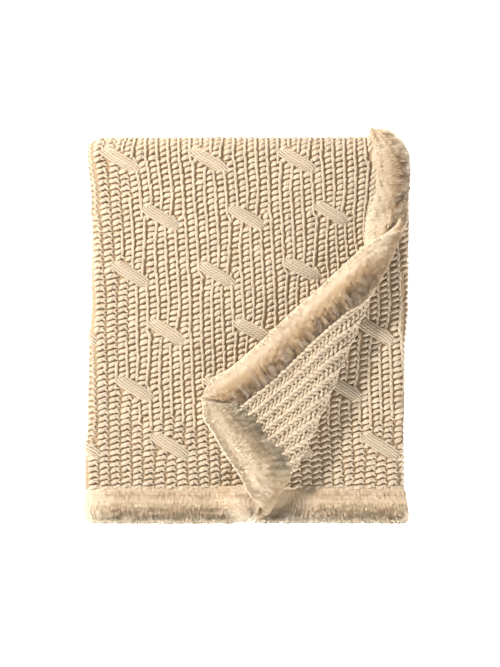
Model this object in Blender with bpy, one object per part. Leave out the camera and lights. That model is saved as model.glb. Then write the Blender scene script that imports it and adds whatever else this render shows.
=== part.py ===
"""A cable knit throw with a plush band sewn along its four edges, folded and lying flat.

The throw is folded in three across its length, then in half, and its upper lower-right corner
is turned back. One mapping takes every flat point (u along the hem, v up the side, w out of
the right side of the cloth) to its folded place. Metres, +Z up, +Y towards the half fold.
"""

import math

import bpy
import numpy as np

# Flat sizes
FLAT_LENGTH = 1.524
FLAT_WIDTH = 1.270
BAND_WIDTH = 0.062
TONGUE = 0.006

# Thicknesses, measured from the middle of the cloth
KNIT_HALF = 0.0035
RIB_RISE = 0.0015
CABLE_RISE = 0.0045
TONGUE_HALF = 0.0011
SLOT_HALF = 0.0022
SLOT_SPARE = 0.0012
SEAM_GAP = 0.0012
SHOULDER = 0.0046
BAND_FLUSH = 0.0047
BAND_PLUMP = 0.0135
BAND_TURNED_UNDER = 0.009
FIT_GAP = 0.0003

# Folded stack
PITCH = 0.010
LEFT_FOLD_X = -0.2407
RIGHT_FOLD_X = 0.2489
TOP_EDGE_X = 0.262
MIDDLE_LAYER_LENGTH = 0.509
HEM_Y = -0.320
HALF_FOLD_Y = 0.2713
HALF_FOLD_LENGTH = 0.0897
FOLD_HEIGHT = 2.5 * PITCH + BAND_FLUSH

# Knit pattern
RIB_PITCH = 0.0176
CABLE_REPEAT = 8 * RIB_PITCH
CABLE_ROW = 0.0915
FIRST_CABLE_ROW = 0.1264
CABLE_HALF_LENGTH = 0.036
CABLE_HALF_WIDTH = 0.017
CABLE_SLANT = math.radians(-30.0)
CABLE_SLOPE = (0.60, 1.30)
EVEN_CABLE_OFFSET = 0.0375
ODD_CABLE_OFFSET = 0.0919
WALE_DRIFT = 0.036
SIDE_HOLD = 0.15
ROWS_TO_CABLE = 5

# Turned-back corner: the outline of its roll starts here and runs down and to the left
ROLL_START = (0.2528, 0.144)
ROLL_SLOPE = math.radians(-114.9)
REST_HEIGHT = 0.019
SETTLE_LENGTH = 0.070
HEM_RISE = 0.030
HEM_RISE_ACROSS = (-0.03, 0.14)

# Where the laid-back cloth lies further over than a flat mirror image: along the roll, and how far
BULGE_TABLE = (
    {"along": 0.15, "reach": 0.12, "shift": 0.016},
    {"along": 0.50, "reach": 0.06, "shift": 0.012},
)

# Along the roll: distance from its start, radius, and outer half thickness
ROLL_TABLE = (
    {"along": -0.10, "radius": 0.0180, "outer": 0.0120},
    {"along": 0.02, "radius": 0.0180, "outer": 0.0120},
    {"along": 0.10, "radius": 0.0165, "outer": 0.0060},
    {"along": 0.18, "radius": 0.0140, "outer": 0.0035},
    {"along": 0.38, "radius": 0.0140, "outer": 0.0035},
    {"along": 0.47, "radius": 0.0170, "outer": 0.0120},
    {"along": 0.56, "radius": 0.0170, "outer": 0.0120},
)

# How far the two side folds wander from straight, down the stack
WANDER_TABLE = (
    {"y": -0.32, "left": -0.0080, "right": 0.0000},
    {"y": -0.25, "left": -0.0040, "right": -0.0080},
    {"y": -0.14, "left": 0.0000, "right": -0.0075},
    {"y": -0.04, "left": 0.0030, "right": -0.0050},
    {"y": 0.04, "left": 0.0070, "right": -0.0010},
    {"y": 0.15, "left": 0.0070, "right": 0.0000},
    {"y": 0.20, "left": 0.0060, "right": 0.0000},
    {"y": 0.28, "left": 0.0000, "right": 0.0000},
)
LEFT_WANDER_REACH = (-0.25, 0.10)
RIGHT_WANDER_REACH = (-0.05, 0.24)

# The far corners of the stack are round, and the plush stands up over the half fold on the right
LEFT_CORNER_RADIUS = 0.022
LEFT_CORNER_REACH = (-0.16, -0.26)
RIGHT_CORNER_START = 0.262
RIGHT_CORNER_HEIGHT = 0.045
RIGHT_CORNER_INSET = 0.023
RIGHT_CORNER_REACH = (0.17, 0.26)
CROWN = 0.010
CROWN_ACROSS = (0.195, 0.215)
CROWN_UP = (0.19, 0.30)

# The turned corner draws the top layer's side inwards where it starts to roll
PULL = 0.010
PULL_Y = 0.145
PULL_REACH = 0.055
PULL_ACROSS = (0.12, 0.21)

FLAT_CORNER_REACH = 0.070
FLAT_CORNER_PULL = 0.014

# Soft waves in the stack's height: share of it, and turns in radians for each metre
UNEVEN = 0.035
WIDE_WAVE = {"x": 9.0, "x_phase": 1.0, "y": 7.0, "y_phase": -0.6}
NARROW_WAVE = {"share": 0.5, "x": 17.0, "y": -11.0}

# Where the right side shows, as shares of the two folds and distances past the roll's start
KNIT_HIDDEN_ON_HALF_FOLD = (0.5, 0.7)
PLUSH_HIDDEN_ON_HALF_FOLD = (0.45, 1.0)
LEFT_FOLD_HIDDEN_SHARE = 0.3
KNIT_CLEAR_OF_ROLL = (0.040, 0.055)
PLUSH_CLEAR_OF_ROLL = (0.006, 0.030)
PLUMP_PAST_LEFT_FOLD = 0.02

# The plush is thinner under the roll and thick on top of it: shares of the roll's half turn
THIN_UNDER_ROLL = (-0.2, 0.6)
THICK_OVER_ROLL = (0.15, 0.55)
WRONG_SIDE_SHOWS = (0.010, 0.022)
LUMPS = (
    {"height": 0.08, "u": 41.0, "v": 37.0},
    {"height": 0.05, "u": 97.0, "v": -71.0},
)

# Half of a band's section: share of its width from the edge, and share of its half thickness
BAND_SECTION = (
    {"place": 0.00, "height": 0.30},
    {"place": 0.10, "height": 0.72},
    {"place": 0.32, "height": 1.00},
    {"place": 0.64, "height": 1.00},
    {"place": 0.90, "height": 0.88},
)

# How many steps the surfaces take
RIGHT_FOLD_STEPS = 5
LEFT_FOLD_STEPS = 6
KNIT_LAYER_STEPS = 4
HEM_LAYER_STEPS = 9
PLAIN_TOP_STEPS = 6
TOP_STEPS_TO_ROLL = 4
HEM_STEPS_TO_ROLL = 7
HALF_FOLD_STEPS = 7
UNDER_STEPS = 6
ROWS_BEFORE_CABLE = 2
SHOULDER_ROOM = 0.004
ROLL_MARGIN = 0.050
SHARP_ANGLE = math.radians(50.0)

# The lower layer has its ribs only where it shows beside the turned corner
LOWER_RIBS_BELOW = 0.43
LOWER_RIBS_WIDTH = 0.22
LOWER_RIBS_SLOPE = 0.35
FOLD_MARGIN = 0.003

# The outer side band needs more sections where it twists over the roll
TWIST_START = 0.30
TWIST_END = 0.56

# Lengths along the hem where each layer starts and ends
LAYER_3 = FLAT_LENGTH - (TOP_EDGE_X - LEFT_FOLD_X)
LAYER_2_END = LAYER_3 - math.pi * PITCH
LAYER_2 = LAYER_2_END - MIDDLE_LAYER_LENGTH
LAYER_1_END = LAYER_2 - math.pi * PITCH / 2
FRONT_LENGTH = HALF_FOLD_Y - HEM_Y
BACK_START = FRONT_LENGTH + HALF_FOLD_LENGTH

ROLL_ALONG = np.array((math.cos(ROLL_SLOPE), math.sin(ROLL_SLOPE)))
ROLL_OUT = np.array((-ROLL_ALONG[1], ROLL_ALONG[0]))


def smooth(value, start, end):
    """0 before start, 1 after end, and a soft step between."""
    t = np.clip((value - start) / (end - start), 0.0, 1.0)
    return t * t * (3.0 - 2.0 * t)


def column(table, key):
    return [row[key] for row in table]


def lookup(table, at, key, value):
    """A column of a table, read between its rows with soft steps."""
    places = column(table, key)
    values = column(table, value)
    result = np.full_like(at, values[0])
    for i in range(len(places) - 1):
        result = result + (values[i + 1] - values[i]) * smooth(at, places[i], places[i + 1])
    return result


def wale_shift(u, v):
    """How far the wales have drifted to the right, towards the hem."""
    drift = WALE_DRIFT * np.clip((FRONT_LENGTH - v) / FRONT_LENGTH, 0.0, 1.0)
    return drift * (1.0 - SIDE_HOLD * smooth(u, LAYER_3, FLAT_LENGTH))


def three_fold(u, v, w):
    """Place across the stack, and height above its middle plane, after folding in three."""
    at = u + wale_shift(u, v)
    x = RIGHT_FOLD_X - (LAYER_1_END - at)
    h = 1.5 * PITCH + w
    turn = np.clip((at - LAYER_1_END) / (LAYER_2 - LAYER_1_END), 0.0, 1.0) * math.pi
    right = (at > LAYER_1_END) & (at <= LAYER_2)
    x = np.where(right, RIGHT_FOLD_X + (PITCH / 2 + w) * np.sin(turn), x)
    h = np.where(right, PITCH + (PITCH / 2 + w) * np.cos(turn), h)
    under = (at > LAYER_2) & (at <= LAYER_2_END)
    share = (at - LAYER_2) / MIDDLE_LAYER_LENGTH
    x = np.where(under, RIGHT_FOLD_X + share * (LEFT_FOLD_X - RIGHT_FOLD_X), x)
    h = np.where(under, PITCH / 2 - w, h)
    turn = np.clip((at - LAYER_2_END) / (LAYER_3 - LAYER_2_END), 0.0, 1.0) * math.pi
    left = (at > LAYER_2_END) & (at <= LAYER_3)
    x = np.where(left, LEFT_FOLD_X - (PITCH + w) * np.sin(turn), x)
    h = np.where(left, 1.5 * PITCH - (PITCH + w) * np.cos(turn), h)
    top = at > LAYER_3
    x = np.where(top, LEFT_FOLD_X + at - LAYER_3, x)
    h = np.where(top, 2.5 * PITCH + w, h)
    return x, h


def half_fold(v, x, h):
    """The three layers laid over the half fold."""
    y = HEM_Y + v
    z = FOLD_HEIGHT + h
    turn = np.clip((v - FRONT_LENGTH) / HALF_FOLD_LENGTH, 0.0, 1.0) * math.pi
    bend = v > FRONT_LENGTH
    y = np.where(bend, HALF_FOLD_Y + h * np.sin(turn), y)
    z = np.where(bend, FOLD_HEIGHT + h * np.cos(turn), z)
    back = v > BACK_START
    y = np.where(back, HALF_FOLD_Y - (v - BACK_START), y)
    return x, y, z


def wander(x, y):
    """The uneven outline of the side folds and the rounded far corners."""
    moved = x + lookup(WANDER_TABLE, y, "y", "left") * (1.0 - smooth(x, *LEFT_WANDER_REACH))
    moved = moved + lookup(WANDER_TABLE, y, "y", "right") * smooth(x, *RIGHT_WANDER_REACH)
    radius = LEFT_CORNER_RADIUS
    past = np.clip(y - (HALF_FOLD_Y + 3.0 * PITCH - radius), 0.0, radius * 0.98)
    inset = radius - np.sqrt(radius**2 - past**2)
    moved = moved + inset * smooth(x, *LEFT_CORNER_REACH)
    past = np.clip((y - RIGHT_CORNER_START) / RIGHT_CORNER_HEIGHT, 0.0, None)
    moved = moved - RIGHT_CORNER_INSET * past**2 * smooth(x, *RIGHT_CORNER_REACH)
    return moved


def swell(x, y):
    """The gentle unevenness of the stack's height, as a factor."""
    along_x = np.sin(WIDE_WAVE["x"] * x + WIDE_WAVE["x_phase"])
    along_y = np.cos(WIDE_WAVE["y"] * y + WIDE_WAVE["y_phase"])
    narrow = NARROW_WAVE["share"] * np.sin(NARROW_WAVE["x"] * x + NARROW_WAVE["y"] * y)
    return 1.0 + UNEVEN * (along_x * along_y + narrow)


def roll_place(x, y):
    """Distance into the roll, distance along it, its radius and its outer half thickness."""
    dx = x - ROLL_START[0]
    dy = y - ROLL_START[1]
    beyond = dx * ROLL_OUT[0] + dy * ROLL_OUT[1]
    along = dx * ROLL_ALONG[0] + dy * ROLL_ALONG[1]
    radius = lookup(ROLL_TABLE, along, "along", "radius")
    outer = lookup(ROLL_TABLE, along, "along", "outer")
    return beyond + radius + outer, along, radius, outer


def turn_back(u, v, w, x, y, z):
    """The top layer's corner rolled over and laid back on itself."""
    s, along, radius, outer = roll_place(x, y)
    rolling = (u > LAYER_3) & (v < FRONT_LENGTH) & (s > 0.0)
    middle = z - w
    half_turn = math.pi * radius
    angle = np.clip(s, 0.0, half_turn) / radius
    past = np.clip(s - half_turn, 0.0, None)
    inner = radius - w
    s_new = inner * np.sin(angle) - past
    for bulge in BULGE_TABLE:
        near = np.exp(-(((along - bulge["along"]) / bulge["reach"]) ** 2))
        s_new = s_new - bulge["shift"] * near * smooth(s, 0.0, half_turn)
    rise = radius - inner * np.cos(angle)
    rise = rise + (REST_HEIGHT - 2.0 * radius) * smooth(past, 0.0, SETTLE_LENGTH)
    beyond = s_new - radius - outer
    x_new = ROLL_START[0] + beyond * ROLL_OUT[0] + along * ROLL_ALONG[0]
    y_new = ROLL_START[1] + beyond * ROLL_OUT[1] + along * ROLL_ALONG[1]
    x = np.where(rolling, x_new, x)
    y = np.where(rolling, y_new, y)
    z = np.where(rolling, middle + rise, z)
    return x, y, z


def drawn(u, v, x, y):
    """The top layer as it is drawn: its hem up and its side in, and a crown on the half fold."""
    lift = HEM_RISE * smooth(x, *HEM_RISE_ACROSS) * np.clip(1.0 - v / FRONT_LENGTH, 0.0, 1.0)
    pull = PULL * smooth(x, *PULL_ACROSS) * np.exp(-(((y - PULL_Y) / PULL_REACH) ** 2))
    crown = CROWN * smooth(x, *CROWN_ACROSS) * smooth(y, *CROWN_UP)
    front = (u > LAYER_3) & (v < FRONT_LENGTH)
    y_drawn = y + np.where(front, lift, 0.0) + np.where(u > LAYER_3, crown, 0.0)
    return x - np.where(front, pull, 0.0), y_drawn


def round_corners(u, v):
    """Draws the throw's four flat corners in, so that they are round."""
    near = np.minimum(u, FLAT_LENGTH - u) + np.minimum(v, FLAT_WIDTH - v)
    pull = FLAT_CORNER_PULL * np.clip(1.0 - near / FLAT_CORNER_REACH, 0.0, 1.0) ** 2
    u_pulled = u + np.where(u < FLAT_LENGTH / 2, pull, -pull)
    v_pulled = v + np.where(v < FLAT_WIDTH / 2, pull, -pull)
    return u_pulled, v_pulled


def folded(u, v, w):
    """The folded place of flat points."""
    w = np.asarray(w, dtype=float)
    u, v = round_corners(np.asarray(u, dtype=float), np.asarray(v, dtype=float))
    x, h = three_fold(u, v, w)
    x, y, z = half_fold(v, x, h)
    x, y = drawn(u, v, x, y)
    x = wander(x, y)
    x, y, z = turn_back(u, v, w, x, y, z)
    return np.stack((x, y, z * swell(x, y)), axis=-1)


def flat_roll(u, v):
    """For flat points: the distance into the roll, its radius, and the distance past its outline."""
    x, h = three_fold(u, v, np.zeros_like(u))
    x, y, z = half_fold(v, x, h)
    x, y = drawn(u, v, x, y)
    s, along, radius, outer = roll_place(wander(x, y), y)
    return s, radius, s - radius - outer


def cable_rise(u, v):
    """The raised crossings: slanted bundles in staggered rows."""
    row = np.round((v - FIRST_CABLE_ROW) / CABLE_ROW)
    offset = np.where(row % 2 == 0, ODD_CABLE_OFFSET, EVEN_CABLE_OFFSET)
    du = u - LAYER_3 - offset
    du = du - np.round(du / CABLE_REPEAT) * CABLE_REPEAT
    dv = v - FIRST_CABLE_ROW - row * CABLE_ROW
    along = du * math.cos(CABLE_SLANT) + dv * math.sin(CABLE_SLANT)
    across = -du * math.sin(CABLE_SLANT) + dv * math.cos(CABLE_SLANT)
    distance = np.sqrt((along / CABLE_HALF_LENGTH) ** 2 + (across / CABLE_HALF_WIDTH) ** 2)
    return CABLE_RISE * (1.0 - smooth(distance, *CABLE_SLOPE))


def shown(u, v):
    """1 where the right side of the knit shows from above, 0 where it is hidden."""
    s, radius, past = flat_roll(u, v)
    front = 1.0 - smooth((v - FRONT_LENGTH) / HALF_FOLD_LENGTH, *KNIT_HIDDEN_ON_HALF_FOLD)
    top = smooth((u - LAYER_2_END) / (LAYER_3 - LAYER_2_END), LEFT_FOLD_HIDDEN_SHARE, 1.0)
    middle = smooth(s, *KNIT_CLEAR_OF_ROLL) * (1.0 - smooth(u, LAYER_1_END, LAYER_2))
    middle = middle * (u < LAYER_2) * (v < FRONT_LENGTH)
    return front * np.maximum(top, middle)


def knit_height(u, v, side, ribbed):
    """Half thickness of the knit on its right side (side 1) or its wrong side (side -1)."""
    edge = np.minimum(np.minimum(u, FLAT_LENGTH - u), np.minimum(v, FLAT_WIDTH - v))
    inside = smooth(edge, BAND_WIDTH + SEAM_GAP, BAND_WIDTH + SHOULDER)
    full = np.full_like(u, KNIT_HALF)
    if side > 0:
        cable = cable_rise(u, v)
        rib = RIB_RISE * np.cos(2.0 * math.pi * (u - LAYER_3) / RIB_PITCH)
        rib = rib * (1.0 - cable / CABLE_RISE)
        full = full + (cable + rib) * shown(u, v) * ribbed
        under = (u > LAYER_3) & (v > BACK_START)
        full = np.where(under, BAND_FLUSH, full)
    else:
        s, radius, past = flat_roll(u, v)
        turned = smooth(s, *WRONG_SIDE_SHOWS) * (u > LAYER_3) * (v < FRONT_LENGTH)
        full = full - RIB_RISE * np.cos(2.0 * math.pi * (u - LAYER_3) / RIB_PITCH) * turned
    return side * (TONGUE_HALF + (full - TONGUE_HALF) * inside)


def edged(values, total):
    """A row of places, with the ones that a tongue and its shoulder need at both ends."""
    inner = BAND_WIDTH + SHOULDER
    start = [BAND_WIDTH - TONGUE, BAND_WIDTH + SEAM_GAP, inner]
    end = [total - value for value in reversed(start)]
    low = inner + SHOULDER_ROOM
    kept = [value for value in values if low < value < total - low]
    return start + sorted(kept) + end


def steps(start, end, count):
    """Even steps from start up to, but without, end."""
    return [start + (end - start) * i / count for i in range(count)]


def rib_lines(start, end):
    """The middle of every rib and of every valley between start and end."""
    half = RIB_PITCH / 2
    first = math.ceil((start - LAYER_3) / half)
    last = math.floor((end - LAYER_3) / half)
    return [LAYER_3 + half * i for i in range(first, last + 1)]


def drift_at(v):
    return WALE_DRIFT * min(max((FRONT_LENGTH - v) / FRONT_LENGTH, 0.0), 1.0)


def lower_lines(layer_steps):
    """Places across the two lower layers and both side folds, before the drift."""
    values = steps(BAND_WIDTH, LAYER_1_END, layer_steps)
    values = values + steps(LAYER_1_END, LAYER_2, RIGHT_FOLD_STEPS)
    values = values + steps(LAYER_2, LAYER_2_END, layer_steps)
    return values + steps(LAYER_2_END, LAYER_3, LEFT_FOLD_STEPS) + [LAYER_3]


def top_lines(end, count):
    """Even places across the top layer, after its start, up to but without end."""
    return steps(LAYER_3, end, count)[1:]


def roll_reach(v):
    """Where the roll of the corner starts across the top layer, in a row."""
    edge = ROLL_START[0] + (HEM_Y + v - ROLL_START[1]) * ROLL_ALONG[0] / ROLL_ALONG[1]
    return LAYER_3 + edge - ROLL_MARGIN - LEFT_FOLD_X


def front_lines(v, ribbed):
    """Places across one row of the right side."""
    drift = drift_at(v)
    lower = [at - drift for at in lower_lines(KNIT_LAYER_STEPS)]
    if not ribbed:
        return edged(lower + top_lines(FLAT_LENGTH, PLAIN_TOP_STEPS), FLAT_LENGTH)
    if v < LOWER_RIBS_BELOW:
        fold = LAYER_1_END - drift
        reach = LAYER_1_END - LOWER_RIBS_WIDTH + LOWER_RIBS_SLOPE * v
        lower = [u for u in lower if u < reach or u > fold - FOLD_MARGIN / 3]
        lower = lower + rib_lines(reach, fold - FOLD_MARGIN)
    return edged(lower + rib_lines(LAYER_3 - drift + FOLD_MARGIN, FLAT_LENGTH), FLAT_LENGTH)


def back_lines(v):
    """Places across one row of the wrong side."""
    drift = drift_at(v)
    lower = [at - drift for at in lower_lines(KNIT_LAYER_STEPS)]
    if v > FRONT_LENGTH:
        return edged(lower + top_lines(FLAT_LENGTH, PLAIN_TOP_STEPS), FLAT_LENGTH)
    reach = min(roll_reach(v), FLAT_LENGTH)
    ribs = rib_lines(reach, FLAT_LENGTH)
    return edged(lower + top_lines(reach, TOP_STEPS_TO_ROLL) + ribs, FLAT_LENGTH)


def row_places():
    """Places of the rows, from the front hem over the half fold to the under hem."""
    spacing = CABLE_ROW / ROWS_TO_CABLE
    first = FIRST_CABLE_ROW - ROWS_BEFORE_CABLE * spacing
    count = int((FRONT_LENGTH - spacing / 4 - first) / spacing)
    values = [first + spacing * i for i in range(count + 1)]
    values = values + steps(FRONT_LENGTH, BACK_START, HALF_FOLD_STEPS)
    values = values + steps(BACK_START, FLAT_WIDTH, UNDER_STEPS)
    return edged(values, FLAT_WIDTH)


class Shell:
    """Collects points and triangles of one closed solid."""

    def __init__(self):
        self.points = []
        self.faces = []

    def row(self, u, v, w):
        """Adds a row of flat points and returns their numbers."""
        first = sum(len(block) for block in self.points)
        self.points.append(folded(u, v, w))
        return list(range(first, first + len(u)))

    def zip_rows(self, low, low_at, high, high_at, flip):
        """Triangles between two rows that may have different numbers of points."""
        i = 0
        j = 0
        while i < len(low) - 1 or j < len(high) - 1:
            take_low = j == len(high) - 1
            if not take_low and i < len(low) - 1:
                take_low = low_at[i + 1] <= high_at[j + 1]
            if take_low:
                face = (low[i], low[i + 1], high[j])
                i = i + 1
            else:
                face = (low[i], high[j + 1], high[j])
                j = j + 1
            self.faces.append(face[::-1] if flip else face)

    def mesh(self, name):
        mesh = bpy.data.meshes.new(name)
        points = np.concatenate(self.points)
        mesh.from_pydata([tuple(point) for point in points], [], self.faces)
        mesh.validate()
        return mesh


def material(name, colour, roughness):
    made = bpy.data.materials.new(name)
    made.use_nodes = True
    shader = made.node_tree.nodes["Principled BSDF"]
    shader.inputs["Base Color"].default_value = (*colour, 1.0)
    shader.inputs["Roughness"].default_value = roughness
    shader.inputs["Metallic"].default_value = 0.0
    return made


def add_object(name, mesh, look):
    thing = bpy.data.objects.new(name, mesh)
    mesh.materials.append(look)
    bpy.context.scene.collection.objects.link(thing)
    mesh.shade_smooth()
    mesh.set_sharp_from_angle(angle=SHARP_ANGLE)
    return thing


def knit_face(shell, side, rows):
    """One face of the knit as rows of points, zipped together."""
    made = []
    for v in rows:
        ribbed = side > 0 and v < FRONT_LENGTH + HALF_FOLD_LENGTH * max(KNIT_HIDDEN_ON_HALF_FOLD)
        u = np.array(front_lines(v, ribbed) if side > 0 else back_lines(v))
        places = list(u + wale_shift(u, np.full_like(u, v)))
        height = knit_height(u, np.full_like(u, v), side, ribbed)
        made.append((shell.row(u, np.full_like(u, v), height), places))
    for low, high in zip(made, made[1:]):
        shell.zip_rows(low[0], low[1], high[0], high[1], side < 0)
    return made


def knit_panel(look):
    """The knit, one piece through all its folds, with a thin tongue along its edges."""
    shell = Shell()
    rows = row_places()
    front = knit_face(shell, 1, rows)
    back = knit_face(shell, -1, rows)
    shell.zip_rows(back[0][0], back[0][1], front[0][0], front[0][1], False)
    shell.zip_rows(front[-1][0], front[-1][1], back[-1][0], back[-1][1], False)
    front_start = [row[0][0] for row in front]
    back_start = [row[0][0] for row in back]
    front_end = [row[0][-1] for row in front]
    back_end = [row[0][-1] for row in back]
    shell.zip_rows(front_start, rows, back_start, rows, False)
    shell.zip_rows(back_end, rows, front_end, rows, False)
    return add_object("knit_panel", shell.mesh("knit_panel"), look)


def band_section():
    """Upper and lower points of the rounded section: share of the width from the edge, height."""
    upper = [(row["place"], row["height"]) for row in BAND_SECTION]
    lower = [(place, -height) for place, height in reversed(upper)]
    return upper, lower


def band_halves(u, v):
    """Half thickness of the band on the right side and on the wrong side."""
    s, radius, past = flat_roll(u, v)
    at = u + wale_shift(u, v)
    front = 1.0 - smooth((v - FRONT_LENGTH) / HALF_FOLD_LENGTH, *PLUSH_HIDDEN_ON_HALF_FOLD)
    top = smooth(at, LAYER_2_END, LAYER_3 + PLUMP_PAST_LEFT_FOLD)
    middle = smooth(past, *PLUSH_CLEAR_OF_ROLL) * (1.0 - smooth(at, LAYER_1_END, LAYER_2))
    middle = middle * (u < LAYER_2) * (v < FRONT_LENGTH)
    visible = front * np.maximum(top, middle)
    lumps = np.ones_like(u)
    for wave in LUMPS:
        lumps = lumps + wave["height"] * np.sin(wave["u"] * u + wave["v"] * v)
    right = BAND_FLUSH + (BAND_PLUMP * lumps - BAND_FLUSH) * visible
    on_top = (u > LAYER_3) & (v < FRONT_LENGTH)
    turn_share = s / (math.pi * radius)
    turned = np.where(on_top, smooth(turn_share, *THIN_UNDER_ROLL), 0.0)
    rounding = np.where(on_top, smooth(turn_share, *THICK_OVER_ROLL), 0.0)
    right = right + (BAND_TURNED_UNDER - right) * turned
    wrong = BAND_FLUSH + (BAND_PLUMP * lumps - BAND_FLUSH) * rounding
    return right, wrong


def band_ring(shell, stations, places_on_edge):
    """Adds one section of a band; stations gives its flat place for a distance from the edge."""
    upper, lower = band_section()
    deep = 1.0 - (TONGUE + SLOT_SPARE) / BAND_WIDTH
    slot = [(1.0, 1), (deep, 1), (deep, -1), (1.0, -1)]
    shares = [place for place, _ in upper] + [place for place, _ in slot] + [place for place, _ in lower]
    edge = np.array(shares) * BAND_WIDTH
    u, v = places_on_edge(edge, stations)
    right, wrong = band_halves(u, v)
    tall = [height for _, height in upper]
    low = [height for _, height in lower]
    w = np.zeros_like(u)
    for i, height in enumerate(tall):
        w[i] = height * right[i]
    first = len(tall)
    for i, (_, side) in enumerate(slot):
        w[first + i] = side * SLOT_HALF
    first = first + len(slot)
    for i, height in enumerate(low):
        w[first + i] = height * wrong[first + i]
    return shell.row(u, v, w)


def band(name, look, places_on_edge, stations, flip, lean):
    """One strip of plush, swept along its edge, with mitred ends; lean picks the diagonals."""
    shell = Shell()
    rings = [band_ring(shell, station, places_on_edge) for station in stations]
    for low, high in zip(rings, rings[1:]):
        count = len(low)
        for i in range(count):
            k = (i + 1) % count
            quad = [low[i], low[k], high[k], high[i]]
            if (i < count // 2) != lean:
                quad = quad[1:] + quad[:1]
            for face in ((quad[0], quad[1], quad[2]), (quad[0], quad[2], quad[3])):
                shell.faces.append(face[::-1] if flip else face)
    for ring, turned in ((rings[0], flip), (rings[-1], not flip)):
        for face in end_cap(ring):
            shell.faces.append(face if turned else face[::-1])
    return add_object(name, shell.mesh(name), look)


def end_cap(ring):
    """Triangles that fill a section: upper lip, middle and lower lip."""
    a = ring
    return [
        (a[0], a[1], a[2]), (a[0], a[2], a[6]), (a[2], a[3], a[6]), (a[3], a[4], a[6]),
        (a[4], a[5], a[6]), (a[0], a[6], a[7]), (a[0], a[7], a[13]), (a[13], a[7], a[11]),
        (a[13], a[11], a[12]), (a[11], a[7], a[10]), (a[10], a[7], a[9]), (a[9], a[7], a[8]),
    ]


def mitred(edge, station, total):
    """Place along a band: at its ends the mitre line, and elsewhere the station itself."""
    if station == 0.0:
        return edge + FIT_GAP
    if station == total:
        return total - edge - FIT_GAP
    return np.full_like(edge, station)


def hem_place(edge, station, v):
    """Place along a hem band: stations on the folds move with the drift of the wales."""
    u = mitred(edge, station, FLAT_LENGTH)
    if 0.0 < station <= LAYER_3:
        u = u - wale_shift(u, v)
    return u, v


def front_hem(edge, station):
    return hem_place(edge, station, edge)


def under_hem(edge, station):
    return hem_place(edge, station, FLAT_WIDTH - edge)


def inner_side(edge, station):
    return edge, mitred(edge, station, FLAT_WIDTH)


def outer_side(edge, station):
    return FLAT_LENGTH - edge, mitred(edge, station, FLAT_WIDTH)


def ended(values, total, drift):
    """Stations clear of the mitres, with both ends."""
    low = BAND_WIDTH + SHOULDER_ROOM
    kept = [value for value in values if low + drift + SHOULDER_ROOM < value < total - low - SHOULDER_ROOM]
    return [0.0, low + drift] + kept + [total - low, total]


def front_hem_stations():
    reach = roll_reach(0.0)
    values = lower_lines(HEM_LAYER_STEPS) + top_lines(reach, HEM_STEPS_TO_ROLL)
    values = values + rib_lines(reach, FLAT_LENGTH)
    return ended(values, FLAT_LENGTH, WALE_DRIFT)


def under_hem_stations():
    values = lower_lines(KNIT_LAYER_STEPS) + top_lines(FLAT_LENGTH, PLAIN_TOP_STEPS)
    return ended(values, FLAT_LENGTH, 0.0)


def inner_rows():
    """The knit's rows, without the three of the tongue at each end."""
    return row_places()[3:-3]


def side_stations():
    return ended(inner_rows(), FLAT_WIDTH, 0.0)


def rolled_side_stations():
    """The rows, and more between them where the band twists over the roll."""
    rows = inner_rows()
    pairs = zip(rows, rows[1:])
    between = [(low + high) / 2 for low, high in pairs if TWIST_START < low < TWIST_END]
    return ended(sorted(rows + between), FLAT_WIDTH, 0.0)


def clear_scene():
    for thing in list(bpy.data.objects):
        bpy.data.objects.remove(thing, do_unlink=True)


def main():
    clear_scene()
    knit = material("knit_yarn", (0.66, 0.52, 0.35), 0.9)
    plush = material("plush_pile", (0.69, 0.56, 0.40), 0.95)
    knit_panel(knit)
    band("fur_band_front_hem", plush, front_hem, front_hem_stations(), True, False)
    band("fur_band_under_hem", plush, under_hem, under_hem_stations(), False, True)
    band("fur_band_inner_side", plush, inner_side, side_stations(), False, False)
    band("fur_band_outer_side", plush, outer_side, rolled_side_stations(), True, True)


if __name__ == "__main__":
    main()
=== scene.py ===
"""A cable knit throw with plush bands, folded with one corner turned back.

Run as a script inside Blender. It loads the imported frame, then builds the knit, its stitches,
the cable crossings and the plush bands in the folds that the frame's solids have.
"""

import math

import bpy
import numpy as np
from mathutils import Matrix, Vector


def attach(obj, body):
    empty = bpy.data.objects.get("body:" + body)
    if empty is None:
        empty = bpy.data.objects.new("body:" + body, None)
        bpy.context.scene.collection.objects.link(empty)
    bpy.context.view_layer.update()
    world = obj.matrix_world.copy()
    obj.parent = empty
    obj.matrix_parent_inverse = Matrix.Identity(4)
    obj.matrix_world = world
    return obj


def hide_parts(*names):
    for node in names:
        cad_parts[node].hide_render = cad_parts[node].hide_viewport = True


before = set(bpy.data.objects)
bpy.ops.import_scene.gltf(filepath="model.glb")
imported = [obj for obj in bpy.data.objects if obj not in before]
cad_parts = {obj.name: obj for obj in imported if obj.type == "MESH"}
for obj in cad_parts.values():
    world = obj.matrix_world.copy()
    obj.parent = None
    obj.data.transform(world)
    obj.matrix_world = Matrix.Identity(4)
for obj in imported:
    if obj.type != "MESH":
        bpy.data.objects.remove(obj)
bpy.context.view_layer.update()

bl_info = {
    "name": "Cable Knit Throw",
    "version": (1, 0, 0),
    "blender": (4, 5, 0),
    "location": "3D View > Sidebar > Throw",
    "description": "Builds a folded cable knit throw with plush bands",
    "category": "Add Mesh",
}

BODY = "root"

# Flat sizes of the throw, in metres
FLAT_LENGTH = 1.524
FLAT_WIDTH = 1.270
BAND_WIDTH = 0.062
TONGUE = 0.006

# Half thicknesses of the bands: where hidden, where plump, and under the turned corner
BAND_FLUSH = 0.0047
BAND_PLUMP = 0.0135
BAND_TURNED_UNDER = 0.009

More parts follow.
